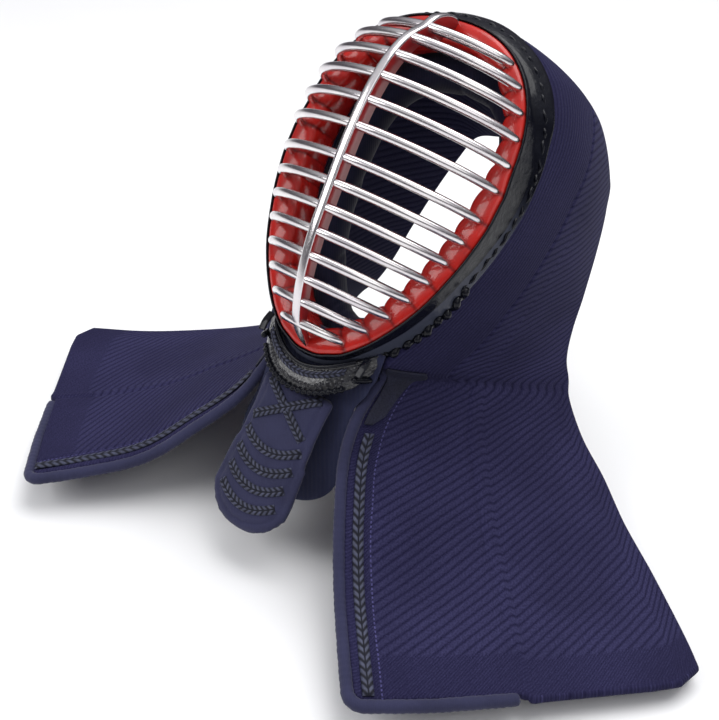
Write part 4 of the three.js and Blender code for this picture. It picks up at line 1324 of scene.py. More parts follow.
@dataclass
class QuiltedCloth:
    """The hood with both wings, their bindings, braids and leather patches."""

    quilt: bpy.types.Material
    plain: bpy.types.Material
    braid: bpy.types.Material
    leather: bpy.types.Material
    hood_depth: float = 220.0
    hood_half_width: float = 76.0
    crest_height: float = 250.0
    wing_reach: float = 330.0
    wing_drop: float = 195.0
    corner_radius: float = 15.0
    rear_cut: float = 16.0
    end_bulge: float = 6.0
    binding: float = 9.0
    binding_gap: float = 0.5
    binding_end: float = 0.48
    hem: float = 3.0
    bow_skew: float = 0.7
    front_swell: float = 6.5
    grid_steps: tuple[int, int] = (421, 111)
    panel_width: float = 66.0
    pressed: float = 0.6
    braid_near: float = 4.2
    braid_far: float = 12.2
    hood_rows: tuple[tuple[float, float, float, float, float], ...] = (
        (0, 0, 1, 1, 1.2), (24, 0.58, 1, 0.998, 1.9), (42, 0.93, 1, 0.96, 2.6),
        (60, 1.07, 1, 0.84, 2.1), (80, 1.19, 1, 0.69, 1.1), (100, 1.27, 1, 0.54, 0.6),
        (120, 1.33, 1, 0.42, 0.4), (136, 1.42, 1, 0.31, 0.5), (149, 1.53, 1, 0.25, 0.5),
    )
    wing_rows: tuple[tuple[float, ...], ...] = (
        (0.146, 0.15, 0.02, 0.37, 1.0, 0.256, 0.6), (0.142, 0.11, -0.15, 0.446, 1.01, 0.118, 0.8),
        (0.159, 0.086, -0.31, 0.547, 1.0, 0.0, 1.0), (0.22, 0.05, -0.51, 0.66, 0.92, -0.135, 1.2),
        (0.303, 0.01, -0.72, 0.78, 0.836, -0.256, 0.9), (0.407, -0.09, -0.877, 0.9, 0.71, -0.374, 0.4),
        (0.502, -0.19, -1.0, 1.0, 0.536, -0.467, -0.2),
    )

    def __post_init__(self) -> None:
        """Lays out the front and rear edges from the section tables."""
        fronts, rears, bows = [], [], []
        for angle, x, y, z, bow in self.hood_rows:
            place = np.array([float(angle)])
            out, back = rim_edge(place)
            last = angle == self.hood_rows[-1][0]
            swell_out = self.front_swell if last else -0.2 * CLOTH_THICKNESS
            fronts.append(RING.beside(place, out + swell_out, back + 1.3)[0])
            rears.append([x * self.hood_half_width, y * self.hood_depth, z * self.crest_height])
            bows.append(bow * CLOTH_THICKNESS)
        reach = np.array([self.wing_reach, self.hood_depth, self.wing_drop])
        for row in self.wing_rows:
            fronts.append(np.array(row[:3]) * reach)
            rears.append(np.array(row[3:6]) * reach)
            bows.append(row[6] * CLOTH_THICKNESS)
        fronts, rears, bows = np.array(fronts), np.array(rears), np.array(bows)
        flip = np.array([-1.0, 1.0, 1.0])
        self.front = np.vstack([fronts[:0:-1] * flip, fronts])
        self.rear = np.vstack([rears[:0:-1] * flip, rears])
        self.bow = np.r_[bows[:0:-1], bows]
        self.wing_start = len(self.hood_rows) / (len(fronts) - 1)

    def point(self, side: np.ndarray, depth: np.ndarray) -> np.ndarray:
        """Points of the outer face: side from -1 to 1 across the crest, depth from 0 to 1."""
        t = np.clip((np.asarray(side) + 1) / 2, 0, 1)
        d = np.asarray(depth)[..., None]
        front, rear = smooth_curve(self.front, t), smooth_curve(self.rear, t)
        low, high = np.maximum(t - 0.004, 0), np.minimum(t + 0.004, 1)
        ahead = smooth_curve(self.front, high) * (1 - d) + smooth_curve(self.rear, high) * d
        behind = smooth_curve(self.front, low) * (1 - d) + smooth_curve(self.rear, low) * d
        outwards = unit(np.cross(ahead - behind, rear - front))
        bow = np.interp(t * (len(self.bow) - 1), np.arange(len(self.bow)), self.bow)[..., None]
        return front + (rear - front) * d + outwards * np.sin(np.pi * d**self.bow_skew) * bow

    def section_length(self, side: np.ndarray) -> np.ndarray:
        """Millimetres that one unit of depth covers."""
        side = np.asarray(side, float)
        front, rear = self.point(side, np.zeros_like(side)), self.point(side, np.ones_like(side))
        return np.linalg.norm(front - rear, axis=-1)

    def end_length(self, depth: np.ndarray) -> np.ndarray:
        """Millimetres that one unit of side covers at a wing's end."""
        ones = np.ones_like(depth)
        return np.linalg.norm(self.point(ones, depth) - self.point(ones * 0.98, depth), axis=-1) / 0.02

    def wing_end(self, depth: np.ndarray, inset: np.ndarray) -> np.ndarray:
        """Side values a distance inside the wing's finished end."""
        length = float(self.section_length(np.array(1.0)))
        run, back = depth * length - inset, (1 - depth) * length
        radius = np.maximum(self.corner_radius - inset, 0)
        lost = inset - 4 * depth * (1 - depth) * self.end_bulge
        rounded = radius - np.sqrt(np.maximum(radius**2 - (radius - run) ** 2, 0))
        lost = lost + np.where(run < radius, rounded, 0)
        lost = lost + np.where(back < self.rear_cut, 0.7 * (self.rear_cut - back), 0)
        return 1 - lost / self.end_length(depth)

    def middle(self, side: np.ndarray, depth: np.ndarray) -> np.ndarray:
        """Points half way through the cloth."""
        step = 0.01
        along = self.point(side + step, depth) - self.point(side - step, depth)
        across = self.point(side, depth + step) - self.point(side, depth - step)
        return self.point(side, depth) - unit(np.cross(along, across)) * CLOTH_THICKNESS / 2

    def sheet_grid(self, rows: int, columns: int) -> tuple[np.ndarray, np.ndarray]:
        """The outer face as a grid of points, and its map in millimetres."""
        s, p = np.meshgrid(np.linspace(-1, 1, rows), np.linspace(0, 1, columns), indexing="ij")
        bound = smooth_step(np.abs(s), self.wing_start - 0.03, self.wing_start)
        edge = self.binding + self.binding_gap
        start = bound * edge / self.section_length(np.abs(s))
        depth = start + (1 - start) * p
        hemmed = smooth_step(p, self.binding_end - 0.004, self.binding_end + 0.012)
        inset = edge + (self.hem - edge) * hemmed
        grid = self.point(s * self.wing_end(depth, inset), depth)
        middle = columns // 3
        along = lengths(grid[:, middle])
        along = np.abs(along - along[rows // 2])
        gaps = np.linalg.norm(np.diff(grid, axis=1), axis=2)
        across = np.cumsum(np.concatenate([np.zeros((rows, 1)), gaps], axis=1), axis=1)
        cloth = np.stack([np.repeat(along[:, None], columns, axis=1), across], axis=-1)
        return grid, cloth

    def relief(self, grid: np.ndarray, cloth: np.ndarray, share: np.ndarray) -> np.ndarray:
        """Presses seams and soft waves into the outer face.

        Args:
            grid: Points of the outer face.
            cloth: Their map in millimetres.
            share: Side value of each row.

        Returns:
            The changed points.
        """
        along, across = cloth[..., 0], cloth[..., 1]
        wing = smooth_step(np.abs(share), self.wing_start - 0.05, self.wing_start + 0.05)[:, None]
        total = across[:, -1:]
        seam_inner = -1.3 * bell(across, HEM_SEAM, 1.2) * wing
        line = total * (0.40 + 0.06 * np.clip((np.abs(share)[:, None] - 0.6) / 0.4, 0, 1))
        seam_middle = -1.5 * bell(across, line, 1.3) * smooth_step(np.abs(share), 0.5, 0.6)[:, None]
        ridge = 0.6 * bell(across - line, 6, 4.0) * wing
        tuck = -1.7 * bell(across, self.panel_width + 2, 1.5) * (1 - wing)
        waves = 0.5 * np.sin(along / 37 + across / 51) + 0.35 * np.sin(along / 17 - across / 29 + 1.0)
        height = seam_inner + seam_middle + ridge + tuck + waves - 0.4
        return grid + normals_of(grid) * height[..., None]

    def binding_path(self) -> np.ndarray:
        """The line through the middle of the left wing's binding."""
        radius = self.binding / 2
        last = float(self.wing_end(np.array(radius / self.section_length(np.array(1.0))), np.array(radius)))
        side = np.linspace(self.wing_start - 0.03, last, 66)[:-1]
        front = self.middle(side, radius / self.section_length(side))
        share = np.linspace(0, 1, 60) ** 1.5
        depth = radius / self.section_length(np.array(1.0)) + (self.binding_end - 0.02) * share
        end = self.middle(self.wing_end(depth, np.full_like(depth, radius)), depth)
        path = np.vstack([front, end])
        along = lengths(path)
        even = np.linspace(0, along[-1], 420)
        return read_path(path, along, even)

    def strip(
        self,
        low: float,
        high: float,
        near: Sequence[float],
        far: Sequence[float],
        height: float,
        steps: tuple[int, int],
    ) -> tuple[np.ndarray, np.ndarray]:
        """A strip on the left wing's outer face.

        Args:
            low: Side value where it starts.
            high: Side value where it ends.
            near: Millimetres from the cloth's front edge to its near side, at even steps along it.
            far: The same to its far side.
            height: Its height above the cloth.
            steps: Points along and across.

        Returns:
            Points on the cloth, and the cloth's normals there.
        """
        side = np.linspace(low, high, steps[0])
        share = np.linspace(0, 1, steps[0])
        first = np.interp(share, np.linspace(0, 1, len(near)), near)[:, None]
        last = np.interp(share, np.linspace(0, 1, len(far)), far)[:, None]
        s = np.repeat(side[:, None], steps[1], axis=1)
        a = first + (last - first) * np.linspace(0, 1, steps[1])
        length = self.section_length(s)
        edge = self.binding + self.binding_gap
        depth = (a + edge) / length
        end = self.wing_end(np.clip(depth, 0, 1), np.full_like(depth, self.hem))
        scale = 1 - (1 - np.minimum(end, 1)) * smooth_step(s, 0.9, 1.0)
        grid = self.point(s * scale, depth)
        normals = normals_of(grid)
        return grid + normals * height, normals

    def build(self) -> None:
        """Builds the cloth and everything sewn to it."""
        grid, cloth = self.sheet_grid(*self.grid_steps)
        share = np.linspace(-1, 1, self.grid_steps[0])
        grid = self.relief(grid, cloth, share)
        head = smooth_step(self.wing_start - 0.05 - np.abs(share), -0.12, 0.0)[:, None]
        panel = head * (cloth[..., 1] < self.panel_width)
        hem = (np.abs(share) > 0.955)[:, None] | (cloth[..., 1] < HEM_SEAM) & (head < 0.5)
        values = {"panel": panel, "plain": hem.astype(float)}
        thickness = CLOTH_THICKNESS - self.pressed
        piece = padded_sheet("quilted_hood_and_wings", grid, thickness, cloth, values=values)
        settle(piece, "quilted_hood", slot="quilted_cotton", finish=self.quilt)
        for hand, sign in HANDS:
            flip = np.array([sign, 1.0, 1.0])
            self.build_binding(hand, flip)
            self.build_braid(hand, flip)
            self.build_patch(hand, flip)

    def build_binding(self, hand: str, flip: np.ndarray) -> None:
        """Builds one wing's round binding, puckered along its stitches."""
        path = self.binding_path()
        along = lengths(path)
        pucker = 1 + 0.025 * np.sin(along * 2 * np.pi / 5.2) + 0.02 * np.sin(along * 2 * np.pi / 17)
        ends = taper(along, (0, 0.6, 2.0, 4.5), (0.2, 0.6, 0.88, 1))
        radius = self.binding / 2 * pucker * ends
        side = normals_of(np.stack([path, path + [0, 1, 0]], axis=1))[:, 0]
        sections = tube_sections(path, side, radius, radius * 0.95, 16) * flip
        piece = ring_piece(f"round_binding_{hand}", sections, False, {})
        settle(piece, f"wing_binding_{hand}", slot="indigo_cotton", finish=self.plain)

    def build_braid(self, hand: str, flip: np.ndarray) -> None:
        """Builds the plaited braid beside one wing's binding."""
        near, far, steps = (self.braid_near,), (self.braid_far,), (420, 13)
        grid, normals = self.strip(self.wing_start + 0.1, 0.99, near, far, 0.1, steps)
        piece = plait(f"plaited_wing_braid_{hand}", grid * flip, normals * flip, 2.0, 6.0)
        settle(piece, f"wing_braid_{hand}", slot="braid", finish=self.braid)

    def build_patch(self, hand: str, flip: np.ndarray) -> None:
        """Builds the leather patch at the top of one wing."""
        near = (-7.0, -7.0, -6.0, -2.0, 0.5, 1.0, 1.0)
        far = (31.0, 33.0, 31.0, 25.0, 19.0, 17.0, 16.0, 15.5, 14.5, 7.0)
        low, high, steps = self.wing_start - 0.055, self.wing_start + 0.085, (50, 18)
        grid, _ = self.strip(low, high, near, far, 1.9, steps)
        grid = (grid * flip)[:: int(flip[0])]
        piece = padded_sheet(f"leather_patch_{hand}", grid, 1.6, index_map(*steps))
        settle(piece, f"hood_patch_{hand}", slot="black_leather", finish=self.leather)


def plait(name: str, grid: np.ndarray, normals: np.ndarray, thickness: float, pitch: float) -> Piece:
    """A plaited strip: strands that slant both ways from its middle line.

    Args:
        name: The object's name.
        grid: Points on the cloth under it, along by across by 3.
        normals: The cloth's outward normals there.
        thickness: Its thickness at the middle.
        pitch: Millimetres between two strands.

    Returns:
        The new object.
    """
    columns = grid.shape[1]
    along = lengths(grid[:, columns // 2])[:, None]
    across = np.linspace(-1, 1, columns)[None, :]
    strand = np.abs(np.sin(np.pi * (along / pitch + 0.75 * np.abs(across)))) ** 0.6
    strand = strand * smooth_step(np.abs(across), 0.0, 0.18) ** 0.5
    dome = np.sqrt(np.maximum(1 - across**4, 0.0))
    ends = smooth_step(np.minimum(along, along[-1] - along), 0.0, 2.0)
    height = (0.25 + 0.75 * dome * (0.55 + 0.45 * strand)) * (0.3 + 0.7 * ends)
    top = grid + normals * (thickness * height)[..., None]
    loop_points = np.concatenate([top, (grid + normals * 0.05)[:, ::-1]], axis=1)
    # The strand value raises the strands and also carries the braid's painted highlight.
    values = np.concatenate([strand, np.zeros_like(strand)], axis=1)
    return ring_piece(name, loop_points, False, {"strand": values})


@dataclass
class ChinGuard:
    """The leather guard under the ring's foot, with its band, rolled edge, straps and ties."""

    leather: bpy.types.Material
    gloss: bpy.types.Material
    braid: bpy.types.Material
    cloth: QuiltedCloth
    half_width: float = 44.0
    drop: float = 34.0
    thickness: float = 5.0
    spread: float = 27.0
    arch: float = 0.62
    front: float = 1.5
    slope: float = 2.0
    wrap: float = 9.0
    top_out: float = 10.0
    end_rise: float = 45.0
    end_share: float = 1.22
    grid_steps: tuple[int, int] = (161, 41)
    tie_radius: float = 2.5
    rolls: tuple[tuple[str, float, float, float, float], ...] = (
        ("chin_guard_lip", 0.03, 1.5, 0.0, 0.6), ("chin_guard_edge", 0.955, 2.0, 0.32, 0.5),
    )

    def point(self, share: np.ndarray, drop: np.ndarray) -> np.ndarray:
        """Points of the outer face: share from -1 to 1 across it, drop from 0 to 1 down it."""
        share, drop = np.asarray(share, float), np.asarray(drop, float)
        angle = 180 - self.spread * share
        wrap = self.wrap * np.abs(share) ** 3
        top = RING.beside(angle, np.full_like(angle, self.top_out), self.front + wrap)
        reach = self.drop * (1 - self.arch * np.abs(share) ** 2.2)
        reach = reach - self.end_rise * np.maximum(np.abs(share) - 1, 0)
        low = np.stack([self.half_width * share, self.front + self.slope + wrap, -reach], axis=-1)
        middle = (top + low) / 2 - np.array([0, self.slope, 0])
        d = drop[..., None]
        return top * (1 - d) ** 2 + middle * 2 * d * (1 - d) + low * d**2

    def grid(self, share: tuple[float, float], drop: tuple[float, float], steps: tuple[int, int]) -> tuple[
        np.ndarray, np.ndarray
    ]:
        """A part of the outer face and its outward normals."""
        across, down = np.linspace(share[1], share[0], steps[0]), np.linspace(*drop, steps[1])
        points = self.point(*np.meshgrid(across, down, indexing="ij"))
        normals = normals_of(points)
        return points, normals * np.where(normals[..., 1:2] > 0, -1, 1)

    def build(self) -> None:
        """Builds the guard and what is sewn and tied to it."""
        points, normals = self.grid((-self.end_share, self.end_share), (0, 1), self.grid_steps)
        drop = np.linspace(0, 1, self.grid_steps[1])[None, :]
        lip, field = 0.9 * bell(drop, 0.07, 0.06), 0.7 * bell(drop, 0.66, 0.2)
        points = points + normals * (lip + field - 0.5)[..., None]
        cloth = index_map(*self.grid_steps)
        piece = padded_sheet("chin_guard_leather", points, self.thickness - 0.8, cloth)
        settle(piece, "chin_guard", slot="black_leather", finish=self.leather)
        band, away = self.grid((-0.94, 0.8), (0.2, 0.44), (240, 11))
        settle(plait("chin_guard_band", band, away, 1.3, 4.2), slot="braid", finish=self.braid)
        self.build_rolls()
        self.build_ties()

    def build_rolls(self) -> None:
        """Builds the glossy rolled lip and the twisted lower edge."""
        share = np.linspace(-0.97, 0.9, 260)
        for name, drop, radius, twist, lift in self.rolls:
            path = self.point(share, np.full_like(share, drop)) + np.array([0, -lift, 0])
            along = lengths(path)
            lumps = 1 + twist * np.sin(along * 2 * np.pi / 5.0)
            ends = taper(along, (0, 1, 3), (0.3, 0.8, 1))
            radii = radius * ends * lumps
            sections = tube_sections(path, np.array([0.0, 1.0, 0.0]), radii, radii, 12)
            settle_lacquered(name, sections, finish=self.gloss)

    def build_ties(self) -> None:
        """Builds the rolled thongs and the flat straps on both sides."""
        start = self.point(1.0, 0.8) + np.array([0, -6.2, 0])
        top = self.point(1.0, 0.0) + np.array([3.0, -2.6, 0.5])
        side = np.array(self.cloth.wing_start + 0.012)
        end = self.cloth.middle(side, self.cloth.binding / 2 / self.cloth.section_length(side))
        middle = (start + end) / 2 + np.array([4.0, -4.0, 0])
        end = end + (middle - end) / np.linalg.norm(middle - end) * 6.0
        low = start + np.array([3.0, -1.0, 3.7])
        back = np.array([0.0, 1.0, 0.0])
        share = np.linspace(0, 1, 40)
        path = smooth_curve(np.array([start, middle, end]), share)
        radius = self.tie_radius * np.interp(share, [0, 0.03, 0.1, 0.9, 1], [0.5, 0.9, 1, 0.9, 0.75])
        tie = tube_sections(path, back, radius, radius, 16)
        bend = (top + low) / 2 + np.array([0.6, -0.8, 0])
        line = smooth_curve(np.array([top, bend, low]), np.linspace(0, 1, 30))
        half_thickness, half_width = np.full(len(line), 0.9), np.full(len(line), 3.0)
        strap = tube_sections(line, back, half_thickness, half_width, 20, 0.5)
        for hand, sign in HANDS:
            flip = np.array([sign, 1.0, 1.0])
            settle_lacquered(f"rolled_tie_{hand}", tie * flip, f"chin_tie_{hand}", finish=self.gloss)
            settle_lacquered(f"flat_strap_{hand}", strap * flip, f"chin_strap_{hand}", finish=self.gloss)


def inside_flap(flat: np.ndarray, widths: np.ndarray, places: np.ndarray, drop: float) -> np.ndarray:
    """How far level points lie from a flap's outline.

    Args:
        flat: The points, n by 2, sideways and up.
        widths: Half the flap's width at each place.
        places: Shares of the drop, from the top down.
        drop: The flap's drop.

    Returns:
        The distance of each point to the nearest point of the outline.
    """
    outline = np.stack([np.r_[widths, -widths[::-1]], -np.r_[places, places[::-1]] * drop], axis=-1)
    return np.min(np.linalg.norm(flat[:, None] - outline[None], axis=2), axis=1)


@dataclass
class ThroatFlaps:
    """The padded throat flap, the inner flap behind it and the braids sewn on."""

    plain: bpy.types.Material
    fuzzy: bpy.types.Material
    braid: bpy.types.Material
    half_width: float = 39.9
    drop: float = 150.0
    thickness: float = 12.0
    tilt: float = math.radians(0.6)
    face: float = 8.8
    hinge: float = -34.0
    inner_half_width: float = 50.0
    inner_drop: float = 119.0
    inner_thickness: float = 5.0
    inner_tilt: float = math.radians(13)
    top_share: float = 0.2
    outline: tuple[tuple[float, float], ...] = (
        (0.1, 0.9), (0.3, 0.872), (0.4, 0.87), (0.5, 0.902), (0.6, 0.945), (0.7, 0.982), (0.785, 1.0),
    )
    inner_hinge: float = -17.8
    inner_outline: tuple[tuple[float, float], ...] = (
        (-0.15, 1.1), (0.0, 1.09), (0.1, 1.02), (0.25, 0.88), (0.42, 0.92), (0.6, 1.0), (0.7, 1.0),
    )
    section_points: int = 88
    swell_room: float = 1.3
    voxel: float = 0.004
    pressure: float = 4.0
    cap: float = 0.0012
    groove_inset: float = 9.0
    crossed: tuple[tuple[tuple[float, float], tuple[float, float]], ...] = (
        ((-25.1, -33.0), (23.9, -66.3)), ((-25.9, -65.5), (24.7, -33.0)),
    )
    curves: int = 4
    curve_half_width: float = 27.0
    curve_top: float = -74.5
    curve_pitch: float = 15.2
    curve_sag: float = 10.5
    braid_half_width: float = 3.5
    braid_thickness: float = 1.7
    braid_pitch: float = 4.6

    def onto(self, points: np.ndarray, tilt: float, hinge: float, face: float) -> np.ndarray:
        """Hangs points drawn on y = 0 in their place and tilts them about a level line."""
        y, z = points[..., 1], points[..., 2] - hinge
        cosine, sine = math.cos(tilt), math.sin(tilt)
        back, rise = y * cosine - z * sine + face, y * sine + z * cosine + hinge
        return np.stack([points[..., 0], back, rise], axis=-1)

    def pad(
        self,
        name: str,
        rows: Sequence[tuple[float, float]],
        half: float,
        drop: float,
        thickness: float,
        top: float,
        power: float,
    ) -> np.ndarray:
        """Level sections of a flap with a round lower end.

        Args:
            name: What the flap is called, for the log.
            rows: Its outline from the top down.
            half: Half width at its widest.
            drop: Its drop.
            thickness: Its thickness.
            top: The share of the drop where it starts.
            power: Below 1 the sections grow squarer.

        Returns:
            Sections, rows by corners by 3.
        """
        round_top = rows[-1][0]
        straight = np.linspace(top, round_top, 34)
        bend = np.linspace(0, np.pi / 2, 30)[1:]
        places = np.r_[straight, round_top + (1 - round_top) * np.sin(bend)]
        widths = np.r_[eased_table(rows, straight), rows[-1][1] * np.maximum(np.cos(bend), 0.012)] * half
        turn = np.linspace(0, 2 * np.pi, self.section_points, endpoint=False)
        x = np.sign(np.cos(turn)) * np.abs(np.cos(turn)) ** 0.6
        y = np.sign(np.sin(turn)) * np.abs(np.sin(turn)) ** power
        sections = np.zeros((len(places), self.section_points, 3))
        sections[..., 0] = widths[:, None] * x
        sections[..., 2] = -places[:, None] * drop
        inside = inside_flap(sections[..., [0, 2]].reshape(-1, 2), widths, places, drop)
        fullness = np.clip(inside.reshape(sections.shape[:2]) / (thickness * 0.55), 0, 1)
        fullness = np.sqrt(np.clip(1 - (1 - fullness) ** 2, 0.02, 1))
        sections[..., 1] = thickness / 2 * (1 + y * fullness)
        LOG.info("%s: %.0f by %.0f mm", name, 2 * half, drop * (1 - top))
        return sections

    def build(self) -> None:
        """Builds both flaps, then the braids on the front one."""
        sections = self.pad(
            "throat flap", self.outline, self.half_width - 0.6, self.drop - 0.5,
            self.thickness - 2 * self.swell_room, self.top_share, 0.5,
        )
        sections[..., 1] += self.swell_room
        sections = self.onto(sections, self.tilt, self.hinge, self.face)
        piece = ring_piece("padded_throat_flap", sections, False, {})
        swell(piece, self.voxel, self.pressure, self.cap)
        self.press_groove(piece)
        settle(piece, "throat_flap", slot="indigo_cotton", finish=self.plain)
        back = self.face + self.thickness + 0.3
        inner = self.pad(
            "inner flap", self.inner_outline, self.inner_half_width, self.inner_drop,
            self.inner_thickness, self.inner_outline[0][0], 0.7,
        )
        inner = self.onto(inner, self.inner_tilt, self.inner_hinge, back)
        cloth = ring_piece("inner_flap_cloth", inner, False, {})
        settle(cloth, "inner_throat_flap", slot="quilted_cotton", finish=self.fuzzy)
        self.build_braids(piece)

    def press_groove(self, piece: Piece) -> None:
        """Presses the stitched groove that runs inside the throat flap's edge."""
        points = read_points(piece)
        upright = self.upright(points)
        places = np.linspace(self.top_share, 1.0, 90)
        round_top = self.outline[-1][0]
        rounded = np.sqrt(np.maximum(1 - ((places - round_top) / (1 - round_top)) ** 2, 0))
        narrowing = np.where(places > round_top, rounded, 1)
        widths = eased_table(self.outline, places) * narrowing * self.half_width
        inside = inside_flap(upright[:, [0, 2]], widths, places, self.drop)
        front = np.clip((self.face + self.thickness / 2 - upright[:, 1]) / 3, 0, 1)
        press = 1.3 * bell(inside, self.groove_inset, 1.1)
        press = press + 0.35 * smooth_step(inside, self.groove_inset, self.groove_inset + 5.0)
        move = np.asarray(SEAT.turn((0, 1, 0))) * MILLIMETRE
        write_points(piece, points + (press * front)[:, None] * move[None])

    @staticmethod
    def upright(points: np.ndarray) -> np.ndarray:
        """Row-frame metres back to upright millimetres."""
        scaled = points / MILLIMETRE
        cosine, sine = math.cos(SEAT.lean), math.sin(SEAT.lean)
        y = scaled[:, 1] * cosine - scaled[:, 2] * sine
        z = scaled[:, 1] * sine + scaled[:, 2] * cosine
        return np.stack([scaled[:, 0], y + SEAT.depth, z + SEAT.height], axis=-1)

    def build_braids(self, flap: Piece) -> None:
        """Builds the crossed and the curved braids on the flap's front face."""
        skin = BVHTree.FromObject(flap, bpy.context.evaluated_depsgraph_get())
        share = np.linspace(0, 1, 110)[:, None]
        for k, (a, b) in enumerate(self.crossed):
            line = np.array(a) * (1 - share) + np.array(b) * share
            nodes = () if k else ("flap_cross_braid",)
            self.build_braid(f"crossed_braid_{k + 1}", nodes, line, skin, 0.5 * k)
        share = np.linspace(-1, 1, 130)
        for k in range(self.curves):
            level = self.curve_top - self.curve_pitch * k
            sag = self.curve_sag * (1 - share**2)
            line = np.stack([self.curve_half_width * share, level - sag], axis=-1)
            self.build_braid(f"curved_braid_{k + 1}", (f"flap_braid_{k + 1}",), line, skin, 0.0)

    def build_braid(
        self, name: str, nodes: tuple[str, ...], line: np.ndarray, skin: BVHTree, lift: float
    ) -> None:
        """Lays one braid on the flap's front face.

        Args:
            name: The braid's name.
            nodes: The solids that it stands for.
            line: Its middle line, n by 2, sideways and up.
            skin: The flap's surface.
            lift: How far it lies above that surface.
        """
        along = unit(np.gradient(line, axis=0))
        sideways = np.stack([-along[:, 1], along[:, 0]], axis=-1)
        offsets = np.linspace(-self.braid_half_width, self.braid_half_width, 11)
        flat = line[:, None] + sideways[:, None] * offsets[None, :, None]
        grid = np.zeros((*flat.shape[:2], 3))
        for index in np.ndindex(flat.shape[:2]):
            x, z = flat[index]
            start = SEAT.place(np.array([x, -40.0, z]))
            hit = skin.ray_cast(Vector(start), SEAT.turn((0, 1, 0)))[0]
            grid[index] = self.upright(np.array([hit]))[0] if hit else (x, self.face, z)
        normals = np.broadcast_to(np.array([0.0, -1.0, 0.0]), grid.shape)
        grid = grid - np.array([0, lift, 0])
        piece = plait(name, grid, normals, self.braid_thickness, self.braid_pitch)
        settle(piece, *nodes, slot="braid", finish=self.braid)


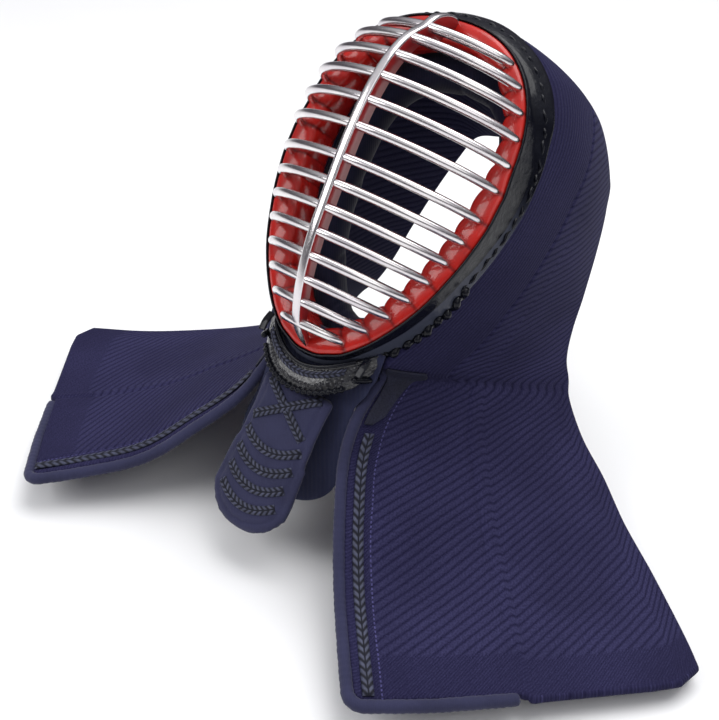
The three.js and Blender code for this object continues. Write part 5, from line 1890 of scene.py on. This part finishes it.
@dataclass
class Studio:
    """The pale floor, the soft lights and the camera."""

    eye: tuple[float, float, float] = (422.5, -658.2, 36.3)
    forward: tuple[float, float, float] = (-0.497, 0.867, -0.038)
    up: tuple[float, float, float] = (-0.3825, -0.178, 0.906)
    lens: float = 52.8
    floor: float = -0.2235
    floor_half: float = 6.0
    lights: tuple[tuple[str, tuple[float, float, float], float, float], ...] = (
        ("key_light", (-0.95, -1.5, 1.15), 17.0, 1.1),
        ("fill_light", (1.6, -0.9, 1.3), 6.0, 1.4),
        ("top_light", (0.2, 1.0, 2.9), 90.0, 2.8),
    )

    def build(self) -> None:
        """Builds the studio."""
        self.build_floor()
        bpy.context.scene.view_settings.view_transform = "Standard"
        for name, place, power, size in self.lights:
            self.light(name, place, power, size)
        world = bpy.data.worlds.new("pale studio")
        world.use_nodes = True
        g = Graph(world.node_tree)
        _, _, rise = g.axes(g.node("ShaderNodeTexCoord").outputs["Generated"])
        background = world.node_tree.nodes["Background"]
        sky = g.blend(g.span(rise, 0.2, 0.85), (0.13, 0.12, 0.14), (0.93, 0.94, 0.97))
        g.put(background.inputs["Color"], sky)
        background.inputs["Strength"].default_value = 0.7
        bpy.context.scene.world = world
        self.build_camera()

    def build_floor(self) -> None:
        """Builds a wide flat pale floor under the helmet."""
        mesh = bpy.data.meshes.new("pale_floor")
        half = self.floor_half
        corners = ((-half, -half), (half, -half), (half, half), (-half, half))
        mesh.from_pydata([(x, y, self.floor) for x, y in corners], [], [(0, 1, 2, 3)])
        floor = add_object("pale_floor", mesh)
        finish = Finish("pale floor", Mapping.SOLID)
        tone = finish.g.noise(finish.map, 3.0, 2.0)
        finish.set(Base_Color=finish.g.blend(tone, (0.86, 0.86, 0.87), (0.9, 0.9, 0.9)), Roughness=0.7)
        mesh.materials.append(finish.material)

    def light(self, name: str, place: tuple[float, float, float], power: float, size: float) -> None:
        """Adds a soft square light aimed at the helmet."""
        data = bpy.data.lights.new(name, "AREA")
        data.energy, data.size = power, size
        lamp = add_object(name, data)
        lamp.location = place
        lamp.rotation_euler = (-Vector(place)).to_track_quat("-Z", "Y").to_euler()

    def build_camera(self) -> None:
        """Adds the camera at the photograph's viewing angle."""
        data = bpy.data.cameras.new("photo_camera")
        data.lens, data.sensor_width, data.clip_start = self.lens, 36.0, 0.01
        camera = add_object("photo_camera", data)
        back = -SEAT.turn(self.forward).normalized()
        right = SEAT.turn(self.up).cross(back).normalized()
        up = back.cross(right)
        place = Matrix((right, up, back)).transposed().to_4x4()
        place.translation = Vector(SEAT.place(np.array(self.eye)))
        camera.matrix_world = place
        bpy.context.scene.camera = camera


def main() -> None:
    """Builds the helmet's pieces in order, then the studio."""
    logging.basicConfig(level=logging.INFO, format="%(name)s: %(message)s")
    steel = PolishedSteel().build()
    # The red lacquer's dark colour is the painted shade in the pinches beside the bars.
    red = Lacquer(
        "red lacquer", colour=(0.5, 0.017, 0.012), dark=(0.09, 0.004, 0.005),
        roughness=0.22, uneven=0.6, coat=0.35,
    ).build()
    # The black lacquer's dark colour is lighter than its colour: painted reflection on the rim's flange,
    # and faint painted glints through the mottle.
    black = Lacquer(
        "black lacquer", colour=(0.003, 0.0035, 0.007), dark=(0.045, 0.05, 0.072),
        roughness=0.16, uneven=1.3, coat=0.2, specular=0.1, mottle_and_painted_glint=0.06,
    ).build()
    leather = Leather(
        "black leather", colour=(0.008, 0.0085, 0.014), crease=(0.002, 0.002, 0.003),
        roughness=0.2, scale=520.0, depth=0.9, coat=0.5,
    ).build()
    soft_leather = Leather(
        "dark soft leather", colour=(0.006, 0.007, 0.028), crease=(0.004, 0.0045, 0.016),
        roughness=0.75, scale=900.0, depth=0.12, coat=0.0,
    ).build()
    # The quilt's valley colour is painted shade in the rib valleys and dimples, and its inside colour
    # painted shade on the hood's inner face.
    quilt = QuiltedCotton(
        "quilted indigo cotton", colour=(0.036, 0.034, 0.09), valley=(0.01, 0.009, 0.032),
        pitch=0.006, slant=math.radians(145), depth=0.5, inside=(0.02, 0.019, 0.048),
    ).build()
    pad_cotton, plain, fuzzy = (
        PlainCotton(name, colour, thread, depth, Mapping.SOLID).build()
        for name, colour, thread, depth in (
            ("stuffed navy cotton", (0.007, 0.008, 0.024), 0.0013, 0.22),
            ("plain indigo cotton", (0.027, 0.028, 0.066), 0.0008, 0.14),
            ("coarse navy cotton", (0.02, 0.023, 0.056), 0.0022, 0.5),
        )
    )
    braid = PlaitedBraid().build()
    grille = Grille(steel)
    grille.build()
    LacqueredRims(red, black, [grille.height(share) for share, _ in grille.bars]).build()
    FacePad(pad_cotton).build()
    cloth = QuiltedCloth(quilt, plain, braid, soft_leather)
    cloth.build()
    ChinGuard(leather, black, braid, cloth).build()
    ThroatFlaps(plain, fuzzy, braid).build()
    Studio().build()


if __name__ == "__main__":
    main()
